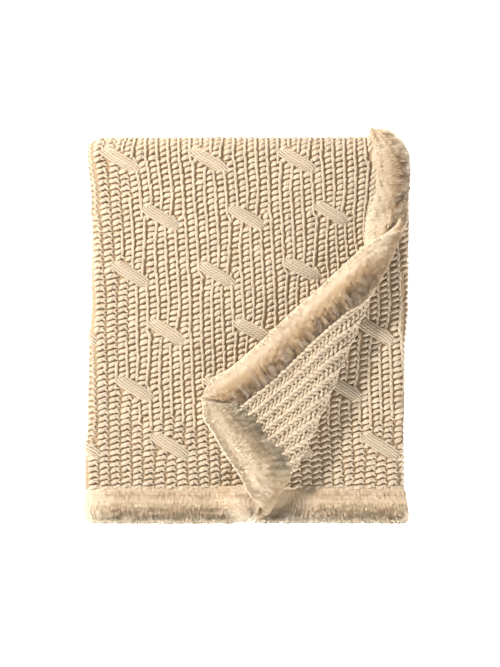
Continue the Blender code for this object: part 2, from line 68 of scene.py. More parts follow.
# Folded stack
PITCH = 0.010
LEFT_FOLD_X = -0.2407
RIGHT_FOLD_X = 0.2489
TOP_EDGE_X = 0.262
MIDDLE_LAYER_LENGTH = 0.509
HEM_Y = -0.320
HALF_FOLD_Y = 0.2713
HALF_FOLD_LENGTH = 0.0897
FOLD_HEIGHT = 2.5 * PITCH + BAND_FLUSH

# Knit pattern
RIB_PITCH = 0.0176
CABLE_REPEAT = 8 * RIB_PITCH
CABLE_ROW = 0.0915
FIRST_CABLE_ROW = 0.1264
EVEN_CABLE_OFFSET = 0.0375
ODD_CABLE_OFFSET = 0.0919
WALE_DRIFT = 0.036
SIDE_HOLD = 0.15

# Turned-back corner: the outline of its roll starts here and runs down and to the left
ROLL_START = (0.2528, 0.144)
ROLL_SLOPE = math.radians(-114.9)
REST_HEIGHT = 0.019
SETTLE_LENGTH = 0.070
HEM_RISE = 0.030
HEM_RISE_ACROSS = (-0.03, 0.14)

# Where the laid-back cloth lies further over than a flat mirror image: along the roll, and how far
BULGE_TABLE = (
    {"along": 0.15, "reach": 0.12, "shift": 0.016},
    {"along": 0.50, "reach": 0.06, "shift": 0.012},
)

# Along the roll: distance from its start, radius, and outer half thickness
ROLL_TABLE = (
    {"along": -0.10, "radius": 0.0180, "outer": 0.0120},
    {"along": 0.02, "radius": 0.0180, "outer": 0.0120},
    {"along": 0.10, "radius": 0.0165, "outer": 0.0060},
    {"along": 0.18, "radius": 0.0140, "outer": 0.0035},
    {"along": 0.38, "radius": 0.0140, "outer": 0.0035},
    {"along": 0.47, "radius": 0.0170, "outer": 0.0120},
    {"along": 0.56, "radius": 0.0170, "outer": 0.0120},
)

# How far the two side folds wander from straight, down the stack
WANDER_TABLE = (
    {"y": -0.32, "left": -0.0080, "right": 0.0000},
    {"y": -0.25, "left": -0.0040, "right": -0.0080},
    {"y": -0.14, "left": 0.0000, "right": -0.0075},
    {"y": -0.04, "left": 0.0030, "right": -0.0050},
    {"y": 0.04, "left": 0.0070, "right": -0.0010},
    {"y": 0.15, "left": 0.0070, "right": 0.0000},
    {"y": 0.20, "left": 0.0060, "right": 0.0000},
    {"y": 0.28, "left": 0.0000, "right": 0.0000},
)
LEFT_WANDER_REACH = (-0.25, 0.10)
RIGHT_WANDER_REACH = (-0.05, 0.24)

# The far corners of the stack are round, and the plush stands up over the half fold on the right
LEFT_CORNER_RADIUS = 0.022
LEFT_CORNER_REACH = (-0.16, -0.26)
RIGHT_CORNER_START = 0.262
RIGHT_CORNER_HEIGHT = 0.045
RIGHT_CORNER_INSET = 0.023
RIGHT_CORNER_REACH = (0.17, 0.26)
CROWN = 0.010
CROWN_ACROSS = (0.195, 0.215)
CROWN_UP = (0.19, 0.30)

# The turned corner draws the top layer's side inwards where it starts to roll
PULL = 0.010
PULL_Y = 0.145
PULL_REACH = 0.055
PULL_ACROSS = (0.12, 0.21)

FLAT_CORNER_REACH = 0.070
FLAT_CORNER_PULL = 0.014

# Soft waves in the stack's height: share of it, and turns in radians for each metre
UNEVEN = 0.035
WIDE_WAVE = {"x": 9.0, "x_phase": 1.0, "y": 7.0, "y_phase": -0.6}
NARROW_WAVE = {"share": 0.5, "x": 17.0, "y": -11.0}

# Lengths along the hem where each layer starts and ends
LAYER_3 = FLAT_LENGTH - (TOP_EDGE_X - LEFT_FOLD_X)
LAYER_2_END = LAYER_3 - math.pi * PITCH
LAYER_2 = LAYER_2_END - MIDDLE_LAYER_LENGTH
LAYER_1_END = LAYER_2 - math.pi * PITCH / 2
FRONT_LENGTH = HALF_FOLD_Y - HEM_Y
BACK_START = FRONT_LENGTH + HALF_FOLD_LENGTH

ROLL_ALONG = np.array((math.cos(ROLL_SLOPE), math.sin(ROLL_SLOPE)))
ROLL_OUT = np.array((-ROLL_ALONG[1], ROLL_ALONG[0]))

# The base sheet's faces above and below the middle of the cloth
BASE_TOP = 0.0012
BASE_UNDER = 0.0022
CABLE_BASE_RISE = 0.0012
FOLD_BASE_RISE = 0.0026

# Stitches start this far above the floor, and this much further where they face down
FLOOR_CLEARANCE = 0.0045
FLOOR_REACH = 0.0040

# Columns and rows of the base sheet, from fold to fold
SHEET_COLUMNS = (44, 20, 14, 26, 75)
SHEET_ROWS = (84, 18, 15)

# A cable crossing: how far its strands move sideways and down, how much of that in a bend, the
# spread of the bundle, its height in the middle and at its ends, and half its size
CROSSING_REACH = 0.0285
CROSSING_BEND = 0.7
CROSSING_RISE = 0.0240
CROSSING_SPREAD = 0.0112
CROSSING_STAGGER = 0.45
CROSSING_HEIGHT = 0.0068
CROSSING_END = -0.0016
CROSSING_STRANDS = 5
CROSSING_STEPS = 15
CROSSING_SLANT = math.radians(39.0)
CROSSING_HALF_LENGTH = (0.019, 0.027)
CROSSING_HALF_WIDTH = (0.0080, 0.0130)
CROSSING_TAPER = 0.35
CROSSING_HOLLOW = 1.2
CROSSING_ROWS = range(-1, 8)
CROSSING_COLUMNS = range(-8, 5)

# Wales that pass under a crossing lean this far, within these reaches of its middle
LEAN = 0.0060
LEAN_ACROSS = 0.018
LEAN_UP = 0.028
LEAN_STEP = 0.003

# Rows rise and fall from rib to rib, and start this far under the bands
ROW_WAVE = 0.0022
ROW_WAVE_TURN = 1.7
STITCH_OVERLAP = 0.003

# Where the knit is slack: past the left fold, near the hem, and waves in both borders
SLACK_LEFT = (0.030, 0.050)
SLACK_LOW = (0.135, 0.165)
SLACK_WAVES = {"v": (0.020, 31.0), "u": (0.012, 83.0)}

# Where the knit has room to rise: shares of the half fold and of the left fold, and past the roll
RISE_FRONT = (0.5, 0.7)
RISE_LEFT = (0.3, 1.0)
RISE_PAST_ROLL = (0.036, 0.050)

# Stitches reach this far past the folds, and over these shares of the roll and of the half fold
FOLD_MARGIN = 0.004
ROLL_MARGIN = 0.012
RIGHT_SIDE_TURN = 0.9
WRONG_SIDE_TURN = 0.2
HALF_FOLD_BARE = 0.25

# Single stitches are uneven in place, turn and size. Where the cloth is steep, so that the
# height of its normal times STEEP_FACTOR is under 1, they lie flatter and a little further out
UNEVEN_PLACE = {"u": 0.0003, "v": 0.00035}
UNEVEN_TURN = 0.09
UNEVEN_SIZE = 0.25
STEEP_FLATTER = 0.45
STEEP_FACTOR = 1.4
STEEP_LIFT = 0.0016

# Shapes of single stitches: start, bend and end of the yarn across, up and out of the cloth,
# its radius at both ends and what its belly adds, and its height over the middle of the cloth
RIGHT_SIDE_STITCHES = {
    "lump": {"phase": 0.0, "rise": 0.0, "follow": 0.6, "height": 0.0012, "spread": 0.10,
             "Start": (-0.0046, -0.0036, -0.0014), "Middle": (0.0000, 0.0006, 0.0044),
             "End": (0.0062, 0.0026, 0.0006), "Start Radius": 0.0014, "End Radius": 0.0024,
             "Belly": 0.0018, "Steps": 5, "Sides": 7},
    "strand": {"phase": 0.47, "rise": 0.0, "follow": 1.0, "height": 0.0026, "spread": 0.06,
               "Start": (0.0010, -0.0056, -0.0010), "Middle": (-0.0014, 0.0000, 0.0034),
               "End": (0.0010, 0.0056, -0.0010), "Start Radius": 0.0022, "End Radius": 0.0022,
               "Belly": 0.0004, "Steps": 3, "Sides": 7},
    "arm": {"phase": 0.34, "rise": 0.0016, "follow": 0.8, "height": 0.0012, "spread": 0.10,
            "Start": (-0.0038, -0.0014, 0.0012), "Middle": (0.0000, 0.0006, 0.0034),
            "End": (0.0036, 0.0026, 0.0002), "Start Radius": 0.0023, "End Radius": 0.0018,
            "Belly": 0.0004, "Steps": 3, "Sides": 6},
    "vee": {"phase": 0.43, "rise": 0.0012, "follow": 0.8, "height": 0.0016, "spread": 0.08,
            "Start": (0.0042, -0.0034, -0.0006), "Middle": (0.0002, -0.0004, 0.0050),
            "End": (-0.0036, 0.0034, -0.0006), "Start Radius": 0.0015, "End Radius": 0.0020,
            "Belly": 0.0006, "Steps": 4, "Sides": 6},
}
WRONG_SIDE_STITCHES = {
    "rope": {"phase": 0.0, "rise": 0.0, "height": -0.0020, "spread": 0.07,
             "Start": (-0.0022, -0.0060, -0.0010), "Middle": (0.0000, 0.0000, 0.0062),
             "End": (0.0022, 0.0058, -0.0006), "Start Radius": 0.0016, "End Radius": 0.0022,
             "Belly": 0.0012, "Steps": 5, "Sides": 7},
    "left_leg": {"phase": 0.24, "rise": 0.003, "height": -0.0018, "spread": 0.07,
                 "Start": (0.0016, -0.0046, -0.0014), "Middle": (0.0000, 0.0000, 0.0034),
                 "End": (-0.0024, 0.0046, -0.0014), "Start Radius": 0.0016, "End Radius": 0.0021,
                 "Belly": 0.0009, "Steps": 4, "Sides": 6},
    "right_leg": {"phase": -0.24, "rise": 0.003, "height": -0.0018, "spread": 0.07,
                  "Start": (-0.0016, -0.0046, -0.0014), "Middle": (0.0000, 0.0000, 0.0034),
                  "End": (0.0024, 0.0046, -0.0014), "Start Radius": 0.0016, "End Radius": 0.0021,
                  "Belly": 0.0009, "Steps": 4, "Sides": 6},
    "purl": {"phase": 0.5, "rise": 0.0, "height": -0.0012, "spread": 0.07,
             "Start": (-0.0036, 0.0006, -0.0010), "Middle": (0.0000, -0.0012, 0.0034),
             "End": (0.0036, 0.0006, -0.0010), "Start Radius": 0.0016, "End Radius": 0.0016,
             "Belly": 0.0008, "Steps": 4, "Sides": 6},
}

# The plush bulges out where it bends over the roll and beside the turned corner's tip, spreads
# over the knit above it, and swells up beside the turned corner's edges
SIDE_BULGE = {"by": 0.010, "rise": (0.1, 0.6), "fall": (0.9, 2.2)}
HEM_BULGE = {"by": 0.016, "rise": (0.4, 1.2), "fall": (2.4, 5.0)}
CORNER_BULGE = 0.009
CORNER_BULGE_AT = 0.042
CORNER_BULGE_REACH = 0.028
SEAM_SPREAD = 0.013
SEAM_SPREAD_AT = 0.455
SEAM_SPREAD_REACH = 0.060
FILL = 0.017
HEM_FILL_EXTRA = 0.45
FILL_NEAR = (-0.034, -0.002)
FILL_UNDER = (0.010, 0.026)

# The bands' skins: points round each, how far the mitres reach, and room between skins
BAND_POINTS = 30
MITRE_REACH = 0.099
FIT_GAP = 0.0003

# Sections get closer from here on: along the hem past the left fold, and along the sides
HEM_PLAIN_LENGTH = 0.22
SIDE_CORNER_LENGTH = 0.08

# The lower layers' hem follows the drift of the wales in full from here on
HEM_DRIFT_REACH = 0.20

# A band's outline, in shares of its width: round up to here, and pressed down towards the seam
ROUND_EDGE = 0.36
SEAM_START = 0.78
SEAM_DEPTH = 0.60

# The plush's unevenness: height and lengths of its waves, and slow lumps in how plump it is
PLUSH_RIPPLE = 0.0016
RIPPLE_LENGTHS = (0.010, 0.040)
RIPPLE_WAVES = 9
RIPPLE_SEED = 11
LUMPS = ({"by": 0.08, "u": 41.0, "v": 37.0}, {"by": 0.05, "u": 97.0, "v": -71.0})

# The skin lies under the plush's surface by this much where hidden, and by this much more where
# it shows and pile stands on it
SKIN_DEPTH = 0.0010
PILE_DEPTH = 0.0036

# Where a band is hidden, this share of it next to the edge has a little pile. The pile's direction
# is found over a small step
RIM = 0.30
RIM_PILE = 0.30
COMB_STEP = 0.0006

# Soft steps over the bands: shares of the half fold, metres past the roll, and metres from the hem
HALF_FOLD_FLATTENS = (0.45, 1.0)
PLUMP_PAST_ROLL = (0.006, 0.030)
SHOWS_PAST_ROLL = (-0.035, -0.015)
HEM_FILL_ENDS = (0.055, 0.080)

# Soft steps over the share of the roll's half turn
TURN_FLATTENS = (-0.2, 0.6)
TURN_FILL_ENDS = (0.15, 0.45)
TURN_PLUMPS = (0.15, 0.55)
TURN_HIDES_RIGHT = (0.12, 0.35)
TURN_SHOWS_WRONG = (0.0, 0.22)
TURN_LIP = {"rise": (-0.2, 0.0), "fall": (0.4, 0.7)}
TURN_FANS = {"rise": (-0.10, 0.30), "fall": (0.62, 0.95)}
TURN_DULLS = {"rise": (-0.15, 0.05), "fall": (0.7, 0.95)}

# Soft steps over the nap, from where it is smooth at 0 to where it fans out at 1
NAP_FANS = (0.35, 0.85)
NAP_TAN = {"rise": (0.20, 0.50), "fall": (0.62, 0.88)}
NAP_TAN_TURNED = (0.25, 0.50)
NAP_TAN_FADES = (0.75, 1.0)
# Pale steps: partly the plush's own light tips, partly painted light where the fanned plush faces away from
# the lamps
NAP_PALE_HEM = (0.45, 0.95)
NAP_PALE_SIDE = (0.70, 1.0)

# The wrong side's full tan is partly the plush's own tan, partly painted shade on the turned band's lower
# half
# Shares of tan in the stripes of a hem and of a side, on the right side and on the wrong side
HEM_TAN = (0.20, 0.15)
SIDE_TAN = (0.45, 1.0)
SMOOTH_HEM_TAN = 0.30

# Pile: clumps that it leans in, how far, what each tuft may differ in length, how length and lift
# grow where it fans out, and how thin its tip is
PILE_CLUMPS = 75.0
PILE_WILDNESS = 2.4
PILE_CALM = 0.12
PILE_LOOSE = 0.25
PILE_LENGTHS = (0.75, 1.25)
PILE_FAN_LENGTH = (0.45, 0.65)
PILE_SHOW_LENGTH = (0.75, 0.25)
PILE_FAN_LIFT = (0.28, 0.16)
PILE_TAPER = 0.9
PILE_BLADE = {"Resolution": 2, "Start": (0.0, 0.0, -0.25), "Middle": (0.30, 0.0, 0.85),
              "End": (1.0, 0.0, 0.9)}

# The four bands: the hem or side that each runs along, the sections between its marks, and the
# share of the full density that its pile has
BANDS = (
    {"node": "fur_band_front_hem", "along_hem": True, "far": False, "steps": (50, 14, 34, 18, 44, 90),
     "density": 1.0},
    {"node": "fur_band_under_hem", "along_hem": True, "far": True, "steps": (20, 8, 16, 8, 14, 16),
     "density": 0.5},
    {"node": "fur_band_inner_side", "along_hem": False, "far": False, "steps": (10, 60, 12, 30),
     "density": 0.5},
    {"node": "fur_band_outer_side", "along_hem": False, "far": True, "steps": (18, 150, 22, 30),
     "density": 1.0},
)

# Looks: scales are the fineness of noise, and depths are the heights of bumps in metres
SHEEN_TINT = (1.0, 0.93, 0.82)
# The yarn's groove factor paints shade into the grooves between its plies
YARN = {"roughness": 0.85, "sheen": 0.25, "tone_scale": 38.0, "fuzz_scale": 420.0, "fuzz": 1.4,
        "bump": 0.9, "depth": 0.0009, "dark": 0.80, "light": 1.14, "painted_groove_shade": 0.55}
PLIES = {"along": 18.0, "around": 18.85, "start": 40.0}
# The knit's ground: its colour is painted shade, and its wrong factor paints the wrong side darker still
DEEP = {"roughness": 0.95, "tone_scale": 220.0, "fuzz_scale": 900.0, "bump": 0.6, "depth": 0.0008,
        "dark": 0.75, "light": 1.3, "wrong": 0.6}
PLUSH = {"roughness": 0.75, "sheen": 0.8, "patch_scale": 24.0, "fuzz_scale": 700.0, "bump": 0.8,
         "depth": 0.0015, "pale_fibre": 0.85, "pale_root": 0.5}

# Stage: the floor's half width, its glow and its patches of tone, the sky's strength, and lamps
# that all aim at the middle of the floor
FLOOR_HALF = 6.0
FLOOR_GLOW = 0.62
FLOOR_TONE_SCALE = 3.0
SKY_STRENGTH = 0.42
LAMPS = (
    {"name": "key_light", "place": (-1.85, 1.15, 1.55), "size": 0.45, "power": 117.0,
     "colour": (1.0, 0.985, 0.96)},
    {"name": "front_light", "place": (0.3, -2.5, 0.7), "size": 1.2, "power": 70.0,
     "colour": (1.0, 1.0, 1.0)},
    {"name": "fill_light", "place": (2.4, -0.4, 0.8), "size": 1.2, "power": 26.0,
     "colour": (1.0, 1.0, 1.0)},
)

# Camera: straight above, far away, in the photograph's frame
IMAGE_HEIGHT = 667
METRES_PER_PIXEL = 0.0016
PICTURE_MIDDLE = (0.0048, -0.0136)
CAMERA_HEIGHT = 8.0
CAMERA_REACH = 40.0
SENSOR = 36.0


class ThrowSizes(bpy.types.PropertyGroup):
    """Sizes that a user may change."""

    row_pitch: bpy.props.FloatProperty(
        name="Row Pitch", description="Height of one row of stitches", default=0.0094, unit="LENGTH")
    cable_radius: bpy.props.FloatProperty(
        name="Cable Strand Radius", description="Radius of a strand of a cable", default=0.0022,
        unit="LENGTH")
    pile_density: bpy.props.FloatProperty(
        name="Pile Density", description="Tufts for each square metre of plush", default=560000.0)
    pile_length: bpy.props.FloatProperty(
        name="Pile Length", description="Length of a tuft of fibres", default=0.0085, unit="LENGTH")
    pile_width: bpy.props.FloatProperty(
        name="Fibre Width", description="Width of a tuft of fibres", default=0.0011, unit="LENGTH")
    seed: bpy.props.IntProperty(name="Seed", description="Seed of what is uneven", default=4)


class ThrowColours(bpy.types.PropertyGroup):
    """Colours that a user may change."""

    yarn: bpy.props.FloatVectorProperty(
        name="Yarn", description="Colour of the yarn", subtype="COLOR", size=3, default=(0.645, 0.515, 0.37))
    # Painted shade: the dark colour of the knit between and under the stitches, where shade falls
    yarn_painted_shade: bpy.props.FloatVectorProperty(
        name="Yarn Painted Shade", description="Colour of the knit between stitches", subtype="COLOR", size=3,
        default=(0.42, 0.30, 0.185))
    pile_cream: bpy.props.FloatVectorProperty(
        name="Pile Cream", description="Light colour of the plush", subtype="COLOR", size=3,
        default=(0.83, 0.71, 0.55))
    pile_tan: bpy.props.FloatVectorProperty(
        name="Pile Tan", description="Dark colour of the plush", subtype="COLOR", size=3,
        default=(0.60, 0.44, 0.265))
    # Partly the plush's own light tip colour, partly painted light for fanned plush that would otherwise
    # render dark
    pile_tip_and_glow: bpy.props.FloatVectorProperty(
        name="Pile Tip and Glow", description="Colour of the plush where its fibres fan out", subtype="COLOR", size=3,
        default=(0.97, 0.90, 0.77))
    ground: bpy.props.FloatVectorProperty(
        name="Floor", description="Colour of the floor", subtype="COLOR", size=3, default=(0.92, 0.92, 0.92))


def sizes():
    return bpy.context.scene.throw_sizes


def colours():
    return bpy.context.scene.throw_colours


# The folds: one mapping from flat points to their place

def smooth(value, start, end):
    """0 before start, 1 after end, and a soft step between."""
    t = np.clip((value - start) / (end - start), 0.0, 1.0)
    return t * t * (3.0 - 2.0 * t)


def lookup(table, at, key, value):
    """A column of a table, read between its rows with soft steps."""
    result = np.full_like(at, table[0][value])
    for low, high in zip(table, table[1:]):
        result = result + (high[value] - low[value]) * smooth(at, low[key], high[key])
    return result


def wale_shift(u, v):
    """How far the wales have drifted to the right, towards the hem."""
    drift = WALE_DRIFT * np.clip((FRONT_LENGTH - v) / FRONT_LENGTH, 0.0, 1.0)
    return drift * (1.0 - SIDE_HOLD * smooth(u, LAYER_3, FLAT_LENGTH))


def three_fold(u, v, w):
    """Place across the stack, and height above its middle plane, after folding in three."""
    at = u + wale_shift(u, v)
    x = RIGHT_FOLD_X - (LAYER_1_END - at)
    h = 1.5 * PITCH + w
    turn = np.clip((at - LAYER_1_END) / (LAYER_2 - LAYER_1_END), 0.0, 1.0) * math.pi
    right = (at > LAYER_1_END) & (at <= LAYER_2)
    x = np.where(right, RIGHT_FOLD_X + (PITCH / 2 + w) * np.sin(turn), x)
    h = np.where(right, PITCH + (PITCH / 2 + w) * np.cos(turn), h)
    under = (at > LAYER_2) & (at <= LAYER_2_END)
    share = (at - LAYER_2) / MIDDLE_LAYER_LENGTH
    x = np.where(under, RIGHT_FOLD_X + share * (LEFT_FOLD_X - RIGHT_FOLD_X), x)
    h = np.where(under, PITCH / 2 - w, h)
    turn = np.clip((at - LAYER_2_END) / (LAYER_3 - LAYER_2_END), 0.0, 1.0) * math.pi
    left = (at > LAYER_2_END) & (at <= LAYER_3)
    x = np.where(left, LEFT_FOLD_X - (PITCH + w) * np.sin(turn), x)
    h = np.where(left, 1.5 * PITCH - (PITCH + w) * np.cos(turn), h)
    top = at > LAYER_3
    x = np.where(top, LEFT_FOLD_X + at - LAYER_3, x)
    h = np.where(top, 2.5 * PITCH + w, h)
    return x, h


def half_fold(v, x, h):
    """The three layers laid over the half fold."""
    y = HEM_Y + v
    z = FOLD_HEIGHT + h
    turn = np.clip((v - FRONT_LENGTH) / HALF_FOLD_LENGTH, 0.0, 1.0) * math.pi
    bend = v > FRONT_LENGTH
    y = np.where(bend, HALF_FOLD_Y + h * np.sin(turn), y)
    z = np.where(bend, FOLD_HEIGHT + h * np.cos(turn), z)
    back = v > BACK_START
    y = np.where(back, HALF_FOLD_Y - (v - BACK_START), y)
    return x, y, z


def wander(x, y):
    """The uneven outline of the side folds and the rounded far corners."""
    moved = x + lookup(WANDER_TABLE, y, "y", "left") * (1.0 - smooth(x, *LEFT_WANDER_REACH))
    moved = moved + lookup(WANDER_TABLE, y, "y", "right") * smooth(x, *RIGHT_WANDER_REACH)
    radius = LEFT_CORNER_RADIUS
    past = np.clip(y - (HALF_FOLD_Y + 3.0 * PITCH - radius), 0.0, radius * 0.98)
    inset = radius - np.sqrt(radius**2 - past**2)
    moved = moved + inset * smooth(x, *LEFT_CORNER_REACH)
    past = np.clip((y - RIGHT_CORNER_START) / RIGHT_CORNER_HEIGHT, 0.0, None)
    moved = moved - RIGHT_CORNER_INSET * past**2 * smooth(x, *RIGHT_CORNER_REACH)
    return moved


def swell(x, y):
    """The gentle unevenness of the stack's height, as a factor."""
    along_x = np.sin(WIDE_WAVE["x"] * x + WIDE_WAVE["x_phase"])
    along_y = np.cos(WIDE_WAVE["y"] * y + WIDE_WAVE["y_phase"])
    narrow = NARROW_WAVE["share"] * np.sin(NARROW_WAVE["x"] * x + NARROW_WAVE["y"] * y)
    return 1.0 + UNEVEN * (along_x * along_y + narrow)


def roll_place(x, y):
    """Distance into the roll, distance along it, its radius and its outer half thickness."""
    dx = x - ROLL_START[0]
    dy = y - ROLL_START[1]
    beyond = dx * ROLL_OUT[0] + dy * ROLL_OUT[1]
    along = dx * ROLL_ALONG[0] + dy * ROLL_ALONG[1]
    radius = lookup(ROLL_TABLE, along, "along", "radius")
    outer = lookup(ROLL_TABLE, along, "along", "outer")
    return beyond + radius + outer, along, radius, outer


def turn_back(u, v, w, x, y, z):
    """The top layer's corner rolled over and laid back on itself."""
    s, along, radius, outer = roll_place(x, y)
    rolling = (u > LAYER_3) & (v < FRONT_LENGTH) & (s > 0.0)
    middle = z - w
    half_turn = math.pi * radius
    angle = np.clip(s, 0.0, half_turn) / radius
    past = np.clip(s - half_turn, 0.0, None)
    inner = radius - w
    s_new = inner * np.sin(angle) - past
    for bulge in BULGE_TABLE:
        near = np.exp(-(((along - bulge["along"]) / bulge["reach"]) ** 2))
        s_new = s_new - bulge["shift"] * near * smooth(s, 0.0, half_turn)
    rise = radius - inner * np.cos(angle)
    rise = rise + (REST_HEIGHT - 2.0 * radius) * smooth(past, 0.0, SETTLE_LENGTH)
    beyond = s_new - radius - outer
    x_new = ROLL_START[0] + beyond * ROLL_OUT[0] + along * ROLL_ALONG[0]
    y_new = ROLL_START[1] + beyond * ROLL_OUT[1] + along * ROLL_ALONG[1]
    x = np.where(rolling, x_new, x)
    y = np.where(rolling, y_new, y)
    z = np.where(rolling, middle + rise, z)
    return x, y, z


def drawn(u, v, x, y):
    """The top layer as it is drawn: its hem up and its side in, and a crown on the half fold."""
    lift = HEM_RISE * smooth(x, *HEM_RISE_ACROSS) * np.clip(1.0 - v / FRONT_LENGTH, 0.0, 1.0)
    pull = PULL * smooth(x, *PULL_ACROSS) * np.exp(-(((y - PULL_Y) / PULL_REACH) ** 2))
    crown = CROWN * smooth(x, *CROWN_ACROSS) * smooth(y, *CROWN_UP)
    front = (u > LAYER_3) & (v < FRONT_LENGTH)
    y_drawn = y + np.where(front, lift, 0.0) + np.where(u > LAYER_3, crown, 0.0)
    return x - np.where(front, pull, 0.0), y_drawn


def round_corners(u, v):
    """Draws the throw's four flat corners in, so that they are round."""
    near = np.minimum(u, FLAT_LENGTH - u) + np.minimum(v, FLAT_WIDTH - v)
    pull = FLAT_CORNER_PULL * np.clip(1.0 - near / FLAT_CORNER_REACH, 0.0, 1.0) ** 2
    u_pulled = u + np.where(u < FLAT_LENGTH / 2, pull, -pull)
    v_pulled = v + np.where(v < FLAT_WIDTH / 2, pull, -pull)
    return u_pulled, v_pulled


def folded(u, v, w):
    """The folded place of flat points."""
    w = np.asarray(w, dtype=float)
    u, v = round_corners(np.asarray(u, dtype=float), np.asarray(v, dtype=float))
    x, h = three_fold(u, v, w)
    x, y, z = half_fold(v, x, h)
    x, y = drawn(u, v, x, y)
    x = wander(x, y)
    x, y, z = turn_back(u, v, w, x, y, z)
    return np.stack((x, y, z * swell(x, y)), axis=-1)


def bell(value, middle, reach):
    """1 at the middle, and softly down to 0 on both sides."""
    return np.exp(-(((value - middle) / reach) ** 2))


def between(value, rise, fall):
    """A soft step up and a soft step down."""
    return smooth(value, *rise) * (1.0 - smooth(value, *fall))


def laid(u, v):
    """Seen from above, the place of flat points before the corner is turned back."""
    x, h = three_fold(u, v, np.zeros_like(u))
    x, y, z = half_fold(v, x, h)
    x, y = drawn(u, v, x, y)
    return wander(x, y), y


def flat_roll(u, v):
    """For flat points: the distance into the roll, its radius, and the distance past its outline."""
    s, along, radius, outer = roll_place(*laid(u, v))
    return s, radius, s - radius - outer


def under_corner(u, v):
    """How far inside the turned-back corner's outline flat points of the top layer lie."""
    s, along, radius, outer = roll_place(*laid(u, v))
    shift = np.zeros_like(s)
    for bulge in BULGE_TABLE:
        shift = shift + bulge["shift"] * bell(along, bulge["along"], bulge["reach"])
    source = (math.pi - 1.0) * radius - outer - shift - s
    x = ROLL_START[0] + source * ROLL_OUT[0] + along * ROLL_ALONG[0]
    y = ROLL_START[1] + source * ROLL_OUT[1] + along * ROLL_ALONG[1]
    return np.minimum(TOP_EDGE_X - x, y - HEM_Y)


def top_front(u, v):
    """Whether flat points lie on the top layer, in front of the half fold."""
    return (u > LAYER_3) & (v < FRONT_LENGTH)


def turned_share(u, v):
    """The share of the roll's half turn that flat points have made: 0 at its start and -1 elsewhere."""
    s, radius = flat_roll(u, v)[:2]
    return np.where(top_front(u, v), s / (math.pi * radius), -1.0)


def unit(vectors):
    return vectors / np.maximum(np.linalg.norm(vectors, axis=-1, keepdims=True), 1e-12)


def grain(u, v, w, side=1.0, step=0.001):
    """Place and turned frame of flat points: along the hem, up the side, out of the cloth."""
    place = folded(u, v, w)
    across = unit(folded(u + step, v, w) - folded(u - step, v, w))
    up = folded(u, v + step, w) - folded(u, v - step, w)
    out = unit(np.cross(across, up)) * side
    across = across * side
    up = np.cross(out, across)
    return place, across, up, out


def eulers(across, up, out):
    """XYZ Euler angles of frames given by their three axes."""
    pitch = np.arcsin(np.clip(-across[:, 2], -1.0, 1.0))
    yaw = np.arctan2(across[:, 1], across[:, 0])
    roll = np.arctan2(up[:, 2], out[:, 2])
    return np.stack((roll, pitch, yaw), axis=-1)


# Blender helpers

def new_object(name, mesh):
    thing = bpy.data.objects.new(name, mesh)
    bpy.context.scene.collection.objects.link(thing)
    return thing


def mesh_from(name, points, faces):
    mesh = bpy.data.meshes.new(name)
    mesh.from_pydata(points.tolist(), [], faces)
    mesh.update()
    return mesh


def put(mesh, name, values, kind="FLOAT"):
    """Stores one value for each point of a mesh."""
    attribute = mesh.attributes.new(name, kind, "POINT")
    field = "vector" if kind == "FLOAT_VECTOR" else "value"
    attribute.data.foreach_set(field, np.asarray(values, dtype=np.float32).ravel())


class Tree:
    """A Geometry Nodes group with named inputs; node() adds one node and sets its sockets."""

    def __init__(self, name):
        self.group = bpy.data.node_groups.new(name, "GeometryNodeTree")
        face = self.group.interface
        face.new_socket("Geometry", in_out="INPUT", socket_type="NodeSocketGeometry")
        face.new_socket("Geometry", in_out="OUTPUT", socket_type="NodeSocketGeometry")
        self.start = self.group.nodes.new("NodeGroupInput")
        self.end = self.group.nodes.new("NodeGroupOutput")

    def input(self, name, value, kind="NodeSocketFloat"):
        socket = self.group.interface.new_socket(name, in_out="INPUT", socket_type=kind)
        socket.default_value = value
        return self.start.outputs[name]

    def node(self, kind, values=None, out=0, **settings):
        made = self.group.nodes.new(kind)
        for key, value in settings.items():
            setattr(made, key, value)
        for key, value in (values or {}).items():
            socket = made.inputs[key]
            if isinstance(value, bpy.types.NodeSocket):
                self.group.links.new(value, socket)
            else:
                socket.default_value = value
        return made.outputs[out]

    def math(self, operation, a, b=0.0, c=0.0):
        return self.node("ShaderNodeMath", {0: a, 1: b, 2: c}, operation=operation)

    def attribute(self, name, kind="FLOAT"):
        return self.node("GeometryNodeInputNamedAttribute", {"Name": name}, data_type=kind)

    def store(self, geometry, name, value, kind="FLOAT"):
        return self.node("GeometryNodeStoreNamedAttribute",
                         {"Geometry": geometry, "Name": name, "Value": value},
                         data_type=kind, domain="POINT")

    def yarn_tube(self, path, along, sides, radius):
        """A tube of yarn on a curve, which keeps its places along and around for the look."""
        path = self.store(path, "along", along)
        ring = self.node("GeometryNodeCurvePrimitiveCircle", {"Resolution": sides, "Radius": 1.0})
        ring = self.store(ring, "around", self.node("GeometryNodeSplineParameter"))
        tube = self.node("GeometryNodeCurveToMesh",
                         {"Curve": path, "Profile Curve": ring, "Scale": radius, "Fill Caps": True})
        marks = self.node("ShaderNodeCombineXYZ", {0: self.attribute("along"), 1: self.attribute("around")})
        return self.store(tube, "yarn", marks, "FLOAT_VECTOR")

    def finish(self, geometry, look):
        solid = self.node("GeometryNodeRealizeInstances", {0: geometry})
        soft = self.node("GeometryNodeSetShadeSmooth", {"Geometry": solid, "Shade Smooth": True})
        dressed = self.node("GeometryNodeSetMaterial", {"Geometry": soft, "Material": look})
        self.group.links.new(dressed, self.end.inputs[0])
        return self.group


